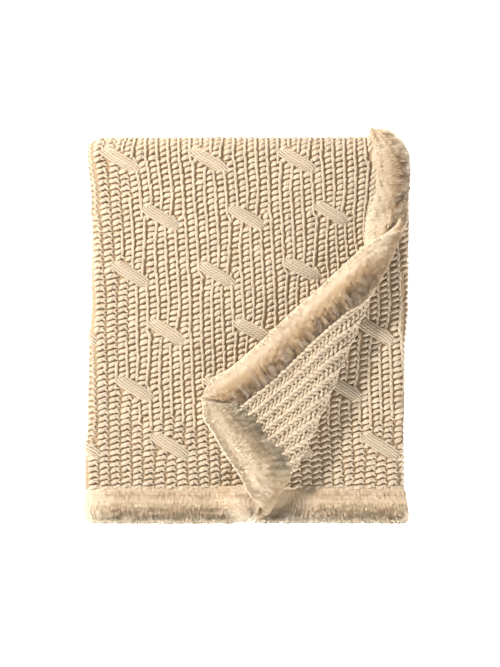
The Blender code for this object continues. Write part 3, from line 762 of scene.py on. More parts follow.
def grown(name, source, group, values, look):
    """The plain mesh that a node group makes from a source object, as an object of its own."""
    modifier = source.modifiers.new("grow", "NODES")
    modifier.node_group = group
    for item in group.interface.items_tree:
        if item.item_type == "SOCKET" and item.in_out == "INPUT" and item.name in values:
            modifier[item.identifier] = values[item.name]
    depsgraph = bpy.context.evaluated_depsgraph_get()
    mesh = bpy.data.meshes.new_from_object(source.evaluated_get(depsgraph), depsgraph=depsgraph)
    mesh.name = name
    if not len(mesh.polygons):
        raise RuntimeError(f"{name}: the nodes made no faces")
    mesh.materials.clear()
    mesh.materials.append(look)
    bpy.data.objects.remove(source, do_unlink=True)
    return new_object(name, mesh)


class Shade:
    """Wraps a shader socket, so that Python's operators add Math nodes."""

    def __init__(self, tree, socket):
        self.tree = tree
        self.socket = socket

    def maths(self, operation, *others, clamp=False):
        values = [other.socket if isinstance(other, Shade) else other for other in (self, *others)]
        return self.tree.node("ShaderNodeMath", {i: v for i, v in enumerate(values)},
                              operation=operation, use_clamp=clamp)

    def __add__(self, other):
        return self.maths("ADD", other)

    def __radd__(self, other):
        return self + other

    def __sub__(self, other):
        return self.maths("SUBTRACT", other)

    def __rsub__(self, other):
        return (self * -1.0) + other

    def __mul__(self, other):
        return self.maths("MULTIPLY", other)

    def __rmul__(self, other):
        return self * other

    def sine(self):
        return self.maths("SINE")

    def clamped(self):
        return self.maths("ADD", 0.0, clamp=True)


class Look:
    """A material under construction."""

    def __init__(self, name, roughness, sheen=0.0):
        self.material = bpy.data.materials.new(name)
        self.material.use_nodes = True
        self.nodes = self.material.node_tree.nodes
        self.links = self.material.node_tree.links
        self.shader = self.nodes["Principled BSDF"]
        self.shader.inputs["Roughness"].default_value = roughness
        self.shader.inputs["Specular IOR Level"].default_value = 0.25
        self.shader.inputs["Sheen Weight"].default_value = sheen
        self.shader.inputs["Sheen Roughness"].default_value = 0.5
        self.shader.inputs["Sheen Tint"].default_value = (*SHEEN_TINT, 1.0)

    def node(self, kind, values=None, out=0, **settings):
        made = self.nodes.new(kind)
        for key, value in settings.items():
            setattr(made, key, value)
        for key, value in (values or {}).items():
            socket = made.inputs[key]
            value = value.socket if isinstance(value, Shade) else value
            if isinstance(value, bpy.types.NodeSocket):
                self.links.new(value, socket)
            else:
                socket.default_value = value
        return Shade(self, made.outputs[out])

    def place(self):
        return self.node("ShaderNodeTexCoord", out="Object")

    def attribute(self, name, out="Fac"):
        return self.node("ShaderNodeAttribute", out=out, attribute_name=name)

    def noise(self, scale, detail=2.0):
        return self.node("ShaderNodeTexNoise", {"Vector": self.place(), "Scale": scale, "Detail": detail})

    def mix(self, share, low, high):
        """A colour between two colours."""
        made = self.nodes.new("ShaderNodeMix")
        made.data_type = "RGBA"
        for index, value in ((0, share), (6, low), (7, high)):
            value = value.socket if isinstance(value, Shade) else value
            if isinstance(value, bpy.types.NodeSocket):
                self.links.new(value, made.inputs[index])
            else:
                made.inputs[index].default_value = value
        return Shade(self, made.outputs[2])

    def colour(self, shade):
        self.links.new(shade.socket, self.shader.inputs["Base Color"])

    def bump(self, height, strength, distance):
        made = self.node("ShaderNodeBump", {"Height": height, "Strength": strength, "Distance": distance})
        self.links.new(made.socket, self.shader.inputs["Normal"])


def opaque(colour, factor=1.0):
    return (colour[0] * factor, colour[1] * factor, colour[2] * factor, 1.0)


def yarn_look(name, twist):
    """Matt acrylic yarn: a slow change of tone and the turns of its plies, as deep as twist says. The
    grooves between the plies are also painted darker, painted shade where shade falls between them.
    """
    look = Look(name, YARN["roughness"], YARN["sheen"])
    base = colours().yarn
    tone = look.noise(YARN["tone_scale"], 3.0) * 0.7 + look.attribute("tone") * 0.5 - 0.1
    shade = look.mix(tone.clamped(), opaque(base, YARN["dark"]), opaque(base, YARN["light"]))
    along = look.node("ShaderNodeSeparateXYZ", {0: look.attribute("yarn", "Vector")}, out=0)
    around = look.node("ShaderNodeSeparateXYZ", {0: look.attribute("yarn", "Vector")}, out=1)
    turn = along * PLIES["along"] + around * PLIES["around"] + look.attribute("tone") * PLIES["start"]
    plies = turn.sine()
    # Painted shade: the colour darkens towards the groove tone in the grooves between the plies
    look.colour(look.mix((plies * 0.5 + 0.5) * twist, shade, opaque(base, YARN["painted_groove_shade"])))
    fuzz = look.noise(YARN["fuzz_scale"], 4.0)
    look.bump(plies * twist + fuzz * YARN["fuzz"], YARN["bump"], YARN["depth"])
    return look.material


def painted_shade_knit_look():
    """The knit between and under its stitches, which lies in shade: its colour is painted shade, dark where
    shade falls between the stitches, and darker still on the wrong side.
    """
    look = Look("knit_ground_painted_shade", DEEP["roughness"])
    deep = colours().yarn_painted_shade
    tone = look.noise(DEEP["tone_scale"], 3.0)
    right = look.mix(tone, opaque(deep, DEEP["dark"]), opaque(deep, DEEP["light"]))
    look.colour(look.mix(look.attribute("wrong"), right, opaque(deep, DEEP["wrong"])))
    look.bump(look.noise(DEEP["fuzz_scale"], 3.0), DEEP["bump"], DEEP["depth"])
    return look.material


def pile_look(name, fibre):
    """Plush: cream and tan in patches, on fibres with lighter tips or on the dense root under them. Where it
    fans out it is paler, partly its own light tips and partly painted light standing in for light through
    the fanned fibres.
    """
    look = Look(name, PLUSH["roughness"], PLUSH["sheen"])
    cream_share = look.attribute("cream")
    patches = look.noise(PLUSH["patch_scale"], 3.0) * 0.9 - 0.45
    if fibre:
        tip = look.attribute("tip")
        light = (look.attribute("tone") - 0.5) * (look.attribute("fan") * 0.7 + 0.15)
        share = cream_share * 0.8 + patches * 0.6 + tip * 0.3 + light - 0.05
    else:
        share = cream_share * 0.75 + patches * 0.8 - 0.05
        look.bump(look.noise(PLUSH["fuzz_scale"], 4.0), PLUSH["bump"], PLUSH["depth"])
    coat = look.mix(share.clamped(), opaque(colours().pile_tan), opaque(colours().pile_cream))
    # Painted light: pale is partly the plush's light tips, partly a lighter colour standing in for light
    # through its fanned fibres
    pale = look.attribute("pale") * (PLUSH["pale_fibre"] if fibre else PLUSH["pale_root"])
    look.colour(look.mix(pale, coat, opaque(colours().pile_tip_and_glow)))
    return look.material


# The knit: a base sheet and the stitches on it

def stations(marks, counts):
    """Places from the first mark to the last, spread evenly from each mark to the next."""
    parts = [np.linspace(low, high, count, endpoint=False)
             for low, high, count in zip(marks, marks[1:], counts)]
    return np.append(np.concatenate(parts), marks[-1])


def bent(u, v):
    """1 on the outside of the half fold and of the left fold, 0 where the cloth lies flat."""
    over = np.clip((v - FRONT_LENGTH) / HALF_FOLD_LENGTH, 0.0, 1.0)
    left = np.clip((u + wale_shift(u, v) - LAYER_2_END) / (LAYER_3 - LAYER_2_END), 0.0, 1.0)
    return np.maximum(np.sin(math.pi * over) * (left > 0.0), np.sin(math.pi * left))


def base_sheet(look):
    """The cloth under the stitches, a thin closed sheet through every fold, dark with the painted shade of
    the gaps between stitches.
    """
    low = BAND_WIDTH - TONGUE
    folds = (LAYER_1_END - WALE_DRIFT, LAYER_2, LAYER_2_END - WALE_DRIFT, LAYER_3)
    u = stations((low, *folds, FLAT_LENGTH - low), SHEET_COLUMNS)
    v = stations((low, FRONT_LENGTH, BACK_START, FLAT_WIDTH - low), SHEET_ROWS)
    grid_u, grid_v = np.meshgrid(u, v)
    top = BASE_TOP + CABLE_BASE_RISE * cable_share(grid_u, grid_v) * raised(grid_u, grid_v)
    top = top + FOLD_BASE_RISE * bent(grid_u, grid_v)
    front = folded(grid_u.ravel(), grid_v.ravel(), top.ravel())
    back = folded(grid_u.ravel(), grid_v.ravel(), np.full(grid_u.size, -BASE_UNDER))
    columns = len(u)
    rows = len(v)
    under = rows * columns
    corner = (np.arange(rows - 1)[:, None] * columns + np.arange(columns - 1)[None, :]).ravel()
    upper = np.stack((corner, corner + 1, corner + columns + 1, corner + columns), axis=-1)
    lower = upper[:, ::-1] + under
    rim = np.concatenate((np.arange(columns), np.arange(2, rows + 1) * columns - 1,
                          (rows - 1) * columns + np.arange(columns - 2, -1, -1),
                          np.arange(rows - 2, 0, -1) * columns))
    following = np.roll(rim, -1)
    sides = np.stack((rim, rim + under, following + under, following), axis=-1)
    faces = np.concatenate((upper, lower, sides)).tolist()
    mesh = mesh_from("knit_sheet", np.concatenate((front, back)), faces)
    mesh.materials.append(look)
    mesh.shade_smooth()
    put(mesh, "wrong", np.repeat((0.0, 1.0), grid_u.size))
    return new_object("knit_sheet", mesh)


def crossing_offsets(u, v):
    """Distances of flat points from the middle of the nearest cable crossing."""
    row = np.round((v - FIRST_CABLE_ROW) / CABLE_ROW)
    offset = np.where(row % 2 == 0, ODD_CABLE_OFFSET, EVEN_CABLE_OFFSET)
    du = u - LAYER_3 - offset
    du = du - np.round(du / CABLE_REPEAT) * CABLE_REPEAT
    dv = v - FIRST_CABLE_ROW - row * CABLE_ROW
    return du, dv


def cable_share(u, v):
    """1 inside a crossing's slanted bundle and 0 away from it."""
    du, dv = crossing_offsets(u, v)
    along = du * math.cos(CROSSING_SLANT) - dv * math.sin(CROSSING_SLANT)
    across = du * math.sin(CROSSING_SLANT) + dv * math.cos(CROSSING_SLANT)
    inside = 1.0 - smooth(np.abs(along), *CROSSING_HALF_LENGTH)
    return inside * (1.0 - smooth(np.abs(across), *CROSSING_HALF_WIDTH))


def raised(u, v):
    """1 where the knit's right side has room to stand up, 0 between layers."""
    s = flat_roll(u, v)[0]
    front = 1.0 - smooth((v - FRONT_LENGTH) / HALF_FOLD_LENGTH, *RISE_FRONT)
    at = u + wale_shift(u, v)
    top = smooth((at - LAYER_2_END) / (LAYER_3 - LAYER_2_END), *RISE_LEFT)
    middle = smooth(s, *RISE_PAST_ROLL) * (1.0 - smooth(at, LAYER_1_END, LAYER_2)) * (v < FRONT_LENGTH)
    return front * np.maximum(top, middle * (at < LAYER_2))


def lean(u, v):
    """The sideways lean of the wales that pass under a crossing."""
    du, dv = crossing_offsets(u, v)
    above = (dv > 0.0) * bell(du, LEAN_ACROSS, LEAN_ACROSS)
    below = (dv <= 0.0) * bell(du, -LEAN_ACROSS, LEAN_ACROSS)
    return LEAN * (below - above) * bell(dv, 0.0, LEAN_UP)


def stitch_tree(look):
    """A short bent piece of yarn, with its own width at both ends, on every point of a mesh."""
    tree = Tree("stitch")
    start = tree.input("Start", (-0.005, 0.0, 0.0), "NodeSocketVector")
    middle = tree.input("Middle", (0.0, 0.0, 0.005), "NodeSocketVector")
    end = tree.input("End", (0.005, 0.0, 0.0), "NodeSocketVector")
    start_radius = tree.input("Start Radius", 0.002)
    end_radius = tree.input("End Radius", 0.002)
    belly = tree.input("Belly", 0.001)
    steps = tree.input("Steps", 5, "NodeSocketInt")
    sides = tree.input("Sides", 6, "NodeSocketInt")
    path = tree.node("GeometryNodeCurveQuadraticBezier",
                     {"Resolution": steps, "Start": start, "Middle": middle, "End": end})
    along = tree.node("GeometryNodeSplineParameter")
    slope = tree.math("MULTIPLY_ADD", tree.math("SUBTRACT", end_radius, start_radius), along, start_radius)
    bulge = tree.math("MULTIPLY", tree.math("SINE", tree.math("MULTIPLY", along, math.pi)), belly)
    tube = tree.yarn_tube(path, along, sides, tree.math("ADD", slope, bulge))
    turn = tree.node("FunctionNodeEulerToRotation", {0: tree.attribute("turn", "FLOAT_VECTOR")})
    copies = tree.node("GeometryNodeInstanceOnPoints",
                       {"Points": tree.start.outputs[0], "Instance": tube, "Rotation": turn,
                        "Scale": tree.attribute("size", "FLOAT_VECTOR")})
    return tree.finish(copies, look)


def stitch_points(name, shape, u, v, rng, spin, side):
    """Loose points for stitches, a little uneven in place, turn, size and tone."""
    count = len(u)
    u = u + rng.normal(0.0, UNEVEN_PLACE["u"], count)
    v = v + rng.normal(0.0, UNEVEN_PLACE["v"], count)
    place, across, up, out = grain(u, v, np.full(count, shape["height"]), side)
    angle = spin + rng.normal(0.0, UNEVEN_TURN, count)
    cosine = np.cos(angle)[:, None]
    sine = np.sin(angle)[:, None]
    across, up = across * cosine + up * sine, up * cosine - across * sine
    size = 1.0 + rng.normal(0.0, shape["spread"], (count, 3)).clip(-UNEVEN_SIZE, UNEVEN_SIZE)
    steep = 1.0 - np.clip(STEEP_FACTOR * np.abs(out[:, 2]), 0.0, 1.0)
    size[:, 2] = size[:, 2] * (1.0 - STEEP_FLATTER * steep)
    place = place + out * (STEEP_LIFT * steep)[:, None]
    clear = place[:, 2] > FLOOR_CLEARANCE + FLOOR_REACH * np.clip(-out[:, 2], 0.0, 1.0)
    mesh = bpy.data.meshes.new(name)
    mesh.from_pydata(place[clear].tolist(), [], [])
    put(mesh, "turn", eulers(across, up, out)[clear], "FLOAT_VECTOR")
    put(mesh, "size", size[clear], "FLOAT_VECTOR")
    put(mesh, "tone", rng.random(count)[clear])
    return new_object(name, mesh)


def stitched(name, shape, u, v, group, look, rng, spin=0.0, side=1.0):
    """One piece of stitches of one kind, from the row of the table that gives its shape."""
    return grown(name, stitch_points(name, shape, u, v, rng, spin, side), group, shape, look)


def knit_sites(keep, phase):
    """Flat places of one stitch for each rib and row, where keep says so."""
    low = BAND_WIDTH - STITCH_OVERLAP
    first = math.ceil((low - LAYER_3) / RIB_PITCH - phase)
    last = math.floor((FLAT_LENGTH - low - LAYER_3) / RIB_PITCH - phase)
    ribs = np.arange(first, last + 1)
    rows = np.arange(low, FLAT_WIDTH - low, sizes().row_pitch)
    u, v = np.meshgrid(LAYER_3 + (ribs + phase) * RIB_PITCH, rows)
    v = v + ROW_WAVE * np.sin(ROW_WAVE_TURN * ribs)[None, :]
    u = u.ravel()
    v = v.ravel()
    kept = keep(u, v)
    return u[kept], v[kept]


def top_sites(u, v):
    """The top layer, its left fold and the half fold, short of what the roll hides."""
    at = u + wale_shift(u, v)
    rolled = turned_share(u, v) > RIGHT_SIDE_TURN
    on_floor = (at > LAYER_3 + FOLD_MARGIN) & (v > BACK_START - HALF_FOLD_BARE * HALF_FOLD_LENGTH)
    return (at > LAYER_2_END - FOLD_MARGIN) & ~rolled & ~on_floor


def lower_sites(u, v):
    """The layer that shows under the turned corner, and the right folds."""
    s = flat_roll(u, v)[0]
    at = u + wale_shift(u, v)
    fold = (at > LAYER_1_END - ROLL_MARGIN) & (at < LAYER_2 + FOLD_MARGIN)
    front = (at < LAYER_2) & (v < FRONT_LENGTH) & (s > -ROLL_MARGIN)
    return fold | front


def turned_sites(u, v):
    """The wrong side of the turned corner."""
    return turned_share(u, v) > WRONG_SIDE_TURN


def slack(u, v):
    """1 where the knit is slack and its strands lie in a V: at the left fold and near the hem."""
    by_v, along_v = SLACK_WAVES["v"]
    by_u, along_u = SLACK_WAVES["u"]
    wave = by_v * np.sin(along_v * v) + by_u * np.sin(along_u * u)
    at = u + wale_shift(u, v)
    left = (at > LAYER_2_END - PITCH) * (1.0 - smooth(at - LAYER_3 + wave, *SLACK_LEFT))
    low = 1.0 - smooth(v + wave, *SLACK_LOW)
    return np.maximum(left, low)


def rib_stitches(name, keep, group, look, rng):
    """Fat slanted stitches, the arm beside each, and the strand or the V between ribs."""
    pieces = []
    for kind, shape in RIGHT_SIDE_STITCHES.items():
        u, v = knit_sites(keep, shape["phase"])
        clear = cable_share(u + lean(u, v), v) < 0.5
        if kind == "strand":
            clear = clear & (slack(u, v) < 0.5)
        if kind == "vee":
            clear = clear & (slack(u, v) >= 0.5)
        u = u[clear]
        v = v[clear] + shape["rise"]
        tilt = np.arctan2(lean(u, v + LEAN_STEP) - lean(u, v - LEAN_STEP), 2.0 * LEAN_STEP)
        pieces.append(stitched(f"{name}_{kind}", shape, u + lean(u, v), v, group, look, rng,
                               spin=-shape["follow"] * tilt))
    return pieces


def turned_stitches(group, look, rng):
    """The wrong side of the turned corner: ropes of small stitches along the ribs."""
    pieces = []
    for kind, shape in WRONG_SIDE_STITCHES.items():
        u, v = knit_sites(turned_sites, shape["phase"])
        pieces.append(stitched(f"turned_{kind}", shape, u, v + shape["rise"], group, look, rng, side=-1.0))
    return pieces


def crossings():
    """Flat middles of every cable crossing that shows."""
    places = []
    for row in CROSSING_ROWS:
        v0 = FIRST_CABLE_ROW + row * CABLE_ROW
        offset = ODD_CABLE_OFFSET if row % 2 == 0 else EVEN_CABLE_OFFSET
        for column in CROSSING_COLUMNS:
            u0 = LAYER_3 + offset + column * CABLE_REPEAT
            inside = BAND_WIDTH < u0 < FLAT_LENGTH - BAND_WIDTH and BAND_WIDTH < v0
            at = np.array((u0,))
            up = np.array((v0,))
            if inside and (top_sites(at, up) | lower_sites(at, up))[0]:
                places.append((u0, v0))
    return places


def crossing_strand(u0, v0, share):
    """Flat points and heights of one strand: down a rib, across the others, and on down."""
    t = np.linspace(-1.0, 1.0, CROSSING_STEPS)
    offset = 2.0 * CROSSING_SPREAD * share * (1.0 - CROSSING_TAPER * t**2)
    bend = CROSSING_BEND * np.sin(0.5 * math.pi * t) + (1.0 - CROSSING_BEND) * t
    u = u0 + offset + CROSSING_REACH * bend
    v = v0 + CROSSING_STAGGER * offset - CROSSING_RISE * t
    arch = (1.0 - np.abs(t) ** 3) * (1.0 - CROSSING_HOLLOW * share**2)
    return u, v, CROSSING_END + (CROSSING_HEIGHT - CROSSING_END) * arch


def cable_tree(look):
    """A tube on every line, thinner at its ends."""
    tree = Tree("cable_strand")
    radius = tree.input("Radius", 0.0026)
    line = tree.node("GeometryNodeMeshToCurve", {0: tree.start.outputs[0]})
    along = tree.node("GeometryNodeSplineParameter")
    belly = tree.math("POWER", tree.math("SINE", tree.math("MULTIPLY", along, math.pi)), 0.35)
    width = tree.math("MULTIPLY_ADD", belly, 0.45, 0.55)
    tube = tree.yarn_tube(line, tree.math("MULTIPLY", along, 4.0), 7, tree.math("MULTIPLY", width, radius))
    return tree.finish(tube, look)


def cable_strands(look, rng):
    """Every crossing's strands, as lines that nodes turn into tubes."""
    points = []
    edges = []
    tones = []
    for u0, v0 in crossings():
        for strand in range(CROSSING_STRANDS):
            share = (strand - (CROSSING_STRANDS - 1) / 2) / CROSSING_STRANDS
            u, v, w = crossing_strand(u0, v0, share)
            first = len(points)
            points.extend(folded(u, v, w).tolist())
            edges.extend((first + i, first + i + 1) for i in range(CROSSING_STEPS - 1))
            tones.extend([float(rng.random())] * CROSSING_STEPS)
    mesh = bpy.data.meshes.new("cable_lines")
    mesh.from_pydata(points, edges, [])
    put(mesh, "tone", tones)
    return grown("cable_strands", new_object("cable_lines", mesh), cable_tree(look),
                 {"Radius": sizes().cable_radius}, look)


# The plush bands: a body on the solids' shape, and pile on what shows

def visible_plush(u, v):
    """Half thickness of a band on both sides, how much each side shows, and how far it fills up."""
    past = flat_roll(u, v)[2]
    at = u + wale_shift(u, v)
    turned = turned_share(u, v)
    front = 1.0 - smooth((v - FRONT_LENGTH) / HALF_FOLD_LENGTH, *HALF_FOLD_FLATTENS)
    top = smooth(at, LAYER_2_END, LAYER_3 + 2.0 * PITCH)
    below = (1.0 - smooth(at, LAYER_1_END, LAYER_2)) * (at < LAYER_2) * (v < FRONT_LENGTH)
    visible = front * np.maximum(top, smooth(past, *PLUMP_PAST_ROLL) * below)
    seen = front * np.maximum(top, smooth(past, *SHOWS_PAST_ROLL) * below)
    lumps = 1.0
    for lump in LUMPS:
        lumps = lumps + lump["by"] * np.sin(lump["u"] * u + lump["v"] * v)
    plump = BAND_PLUMP * lumps - BAND_FLUSH
    right = BAND_FLUSH + plump * visible
    right = right + (BAND_TURNED_UNDER - right) * smooth(turned, *TURN_FLATTENS)
    wrong = BAND_FLUSH + plump * smooth(turned, *TURN_PLUMPS)
    fill = FILL * between(under_corner(u, v), FILL_NEAR, FILL_UNDER)
    fill = fill * top_front(u, v) * (1.0 - smooth(turned, *TURN_FILL_ENDS))
    fill = fill * (1.0 + HEM_FILL_EXTRA * (1.0 - smooth(v, *HEM_FILL_ENDS)))
    shown_right = seen * (1.0 - smooth(turned, *TURN_HIDES_RIGHT))
    shown_wrong = smooth(turned, *TURN_SHOWS_WRONG)
    return right, wrong, shown_right, shown_wrong, fill


def band_outline():
    """Shares of the width from the edge, heights and sides, from seam over the edge to seam."""
    turn = np.linspace(0.0, math.pi, BAND_POINTS)
    share = np.abs(np.cos(turn)) ** 0.9
    side = np.where(turn < 0.5 * math.pi, 1.0, -1.0)
    edge = np.sqrt(1.0 - (1.0 - np.clip(share / ROUND_EDGE, 0.0, 1.0)) ** 2)
    seam = 1.0 - SEAM_DEPTH * smooth(share, SEAM_START, 1.0) ** 1.5
    return share, side * edge * seam, side


def band_stations(kind):
    """Places of the sections along a band, closer where it folds and where it shows."""
    if kind["along_hem"]:
        folds = (LAYER_1_END - PITCH, LAYER_2 + PITCH, LAYER_2_END - PITCH, LAYER_3 + PITCH)
        marks = (0.0, *folds, LAYER_3 + HEM_PLAIN_LENGTH, FLAT_LENGTH)
    else:
        marks = (0.0, SIDE_CORNER_LENGTH, FRONT_LENGTH, BACK_START, FLAT_WIDTH)
    return stations(marks, kind["steps"])


def band_grid(kind):
    """Flat places of a band's skin; rows follow the sections and columns go round each."""
    share, height, side = band_outline()
    total = FLAT_LENGTH if kind["along_hem"] else FLAT_WIDTH
    place = np.repeat(band_stations(kind)[:, None], BAND_POINTS, axis=1)
    inset = share[None, :] * BAND_WIDTH + FIT_GAP
    near_start = np.clip(1.0 - place / MITRE_REACH, 0.0, 1.0)
    near_end = np.clip(1.0 - (total - place) / MITRE_REACH, 0.0, 1.0)
    place = place + inset * near_start - inset * near_end
    across = np.broadcast_to(share * BAND_WIDTH, place.shape)
    if kind["along_hem"]:
        u = place
        v = FLAT_WIDTH - across if kind["far"] else across
        u = u - wale_shift(u, v) * (u < LAYER_3) * smooth(u, 0.0, HEM_DRIFT_REACH)
    else:
        spread = SEAM_SPREAD * bell(place, SEAM_SPREAD_AT, SEAM_SPREAD_REACH) * share**3
        u = FLAT_LENGTH - across - spread if kind["far"] else across
        v = place
    if kind["far"] != kind["along_hem"]:
        from_corner = FLAT_LENGTH - u if kind["along_hem"] else v
        bulge = HEM_BULGE if kind["along_hem"] else SIDE_BULGE
        outwards = bulge["by"] * between(turned_share(u, v), bulge["rise"], bulge["fall"])
        outwards = outwards + CORNER_BULGE * bell(from_corner, CORNER_BULGE_AT, CORNER_BULGE_REACH)
        outwards = outwards * (1.0 - share)[None, :]
        u, v = (u, v - outwards) if kind["along_hem"] else (u + outwards, v)
    return u, v, np.broadcast_to(height, place.shape), np.broadcast_to(side, place.shape), share


def ripple(u, v):
    """Soft unevenness between about -1 and 1, from a few waves."""
    rng = np.random.default_rng(RIPPLE_SEED)
    total = np.zeros_like(u)
    for _ in range(RIPPLE_WAVES):
        length = rng.uniform(*RIPPLE_LENGTHS)
        angle = rng.uniform(0.0, math.pi)
        phase = rng.uniform(0.0, 2.0 * math.pi)
        total = total + np.sin(2.0 * math.pi * (u * math.cos(angle) + v * math.sin(angle)) / length + phase)
    return total / (0.4 * RIPPLE_WAVES)


def nap_place(share, side, turned, shown_wrong):
    """Place along the nap on the face that shows: 0 where it is smooth and 1 where it fans out."""
    twisting = between(turned, **TURN_FANS)
    return np.where(side > 0, 1.0 - share, np.maximum(share, 0.7 * twisting * shown_wrong))


def skin_faces(rows, flipped):
    """Faces round a band's skin, from row to row, and over its two ends."""
    faces = []
    for low in range(0, (rows - 1) * BAND_POINTS, BAND_POINTS):
        high = low + BAND_POINTS
        for i in range(BAND_POINTS):
            k = (i + 1) % BAND_POINTS
            faces.append((low + i, low + k, high + k, high + i))
    last = (rows - 1) * BAND_POINTS
    faces.append(tuple(range(BAND_POINTS - 1, -1, -1)))
    faces.append(tuple(range(last, last + BAND_POINTS)))
    return [face[::-1] for face in faces] if flipped else faces


def hem_colours(nap, side, tan):
    """How pale and how cream a hem's plush is. Its paleness is partly the plush's own light tips and partly
    painted light, a lighter colour on the fanned edge and the turned face that get little light.
    """
    pale = smooth(nap, *NAP_PALE_HEM)
    pale = np.where(side > 0, pale, 0.4 + 0.6 * pale)
    smooth_part = SMOOTH_HEM_TAN * (1.0 - smooth(nap, *NAP_TAN_TURNED)) * (side > 0)
    return pale, 1.0 - np.where(side > 0, *HEM_TAN) * tan - smooth_part


def side_colours(nap, side, tan):
    """How pale and how cream a side's plush is. Its paleness is partly light tips and partly painted light;
    turned back, it is less pale and its tan runs on to the edge, partly the plush's own tan and partly
    painted shade on its lower half beside the turned knit.
    """
    # Painted shade in part: the turned band's tan runs on, darker where shade falls beside the turned knit
    turned_tan_and_shade = smooth(nap, *NAP_TAN_TURNED) * (1.0 - 0.35 * smooth(nap, *NAP_TAN_FADES))
    tan = np.where(side > 0, tan, turned_tan_and_shade)
    pale = smooth(nap, *NAP_PALE_SIDE) * np.where(side > 0, 1.0, 0.3)
    return pale, 1.0 - np.where(side > 0, *SIDE_TAN) * tan


def band_body(kind, look):
    """The backing and dense root of one band, and what each of its points needs for the pile."""
    u, v, height, side, share = band_grid(kind)
    right, wrong, shown_right, shown_wrong, fill = visible_plush(u, v)
    turned = turned_share(u, v)
    shares = np.broadcast_to(share, u.shape)
    lip = (1.0 - smooth(shares, 0.3, 0.6)) * between(turned, **TURN_LIP)
    shown = np.where(side > 0, np.maximum(shown_right, 0.9 * lip), shown_wrong)
    nap = nap_place(shares, side, turned, shown_wrong)
    fan = smooth(nap, *NAP_FANS)
    swelling = PLUSH_RIPPLE * ripple(u, v) * shown * (0.4 + 0.6 * fan)
    w = height * (np.where(side > 0, right, wrong) - SKIN_DEPTH - PILE_DEPTH * shown + swelling)
    filled = fill * smooth(shares, 0.0, 0.12) * (1.0 - 0.7 * smooth(shares, 0.8, 1.0))
    w = w + np.where(side > 0, filled, 0.0)
    points = folded(u.ravel(), v.ravel(), w.ravel())
    faces = skin_faces(len(u), kind["along_hem"] != kind["far"])
    mesh = mesh_from(kind["node"] + "_plush", points, faces)
    mesh.materials.append(look)
    mesh.shade_smooth()
    towards = COMB_STEP * np.where(side > 0, -1.0, 1.0) * (-1.0 if kind["far"] else 1.0)
    along_u, along_v = (0.0, towards) if kind["along_hem"] else (towards, 0.0)
    ahead = folded((u + along_u).ravel(), (v + along_v).ravel(), w.ravel())
    rim = np.where(shares < RIM, RIM_PILE, 0.0) * (turned < -0.3)
    colours_of = hem_colours if kind["along_hem"] else side_colours
    pale, cream = colours_of(nap, side, between(nap, **NAP_TAN))
    put(mesh, "comb", unit(ahead - points), "FLOAT_VECTOR")
    put(mesh, "show", np.maximum(shown, rim))
    put(mesh, "fan", fan)
    # Painted light in part: pale lightens the fanned and turned plush beside its own light tips
    put(mesh, "pale", pale * (1.0 - 0.85 * between(turned, **TURN_DULLS)))
    put(mesh, "cream", cream)
    return new_object(kind["node"] + "_plush", mesh)


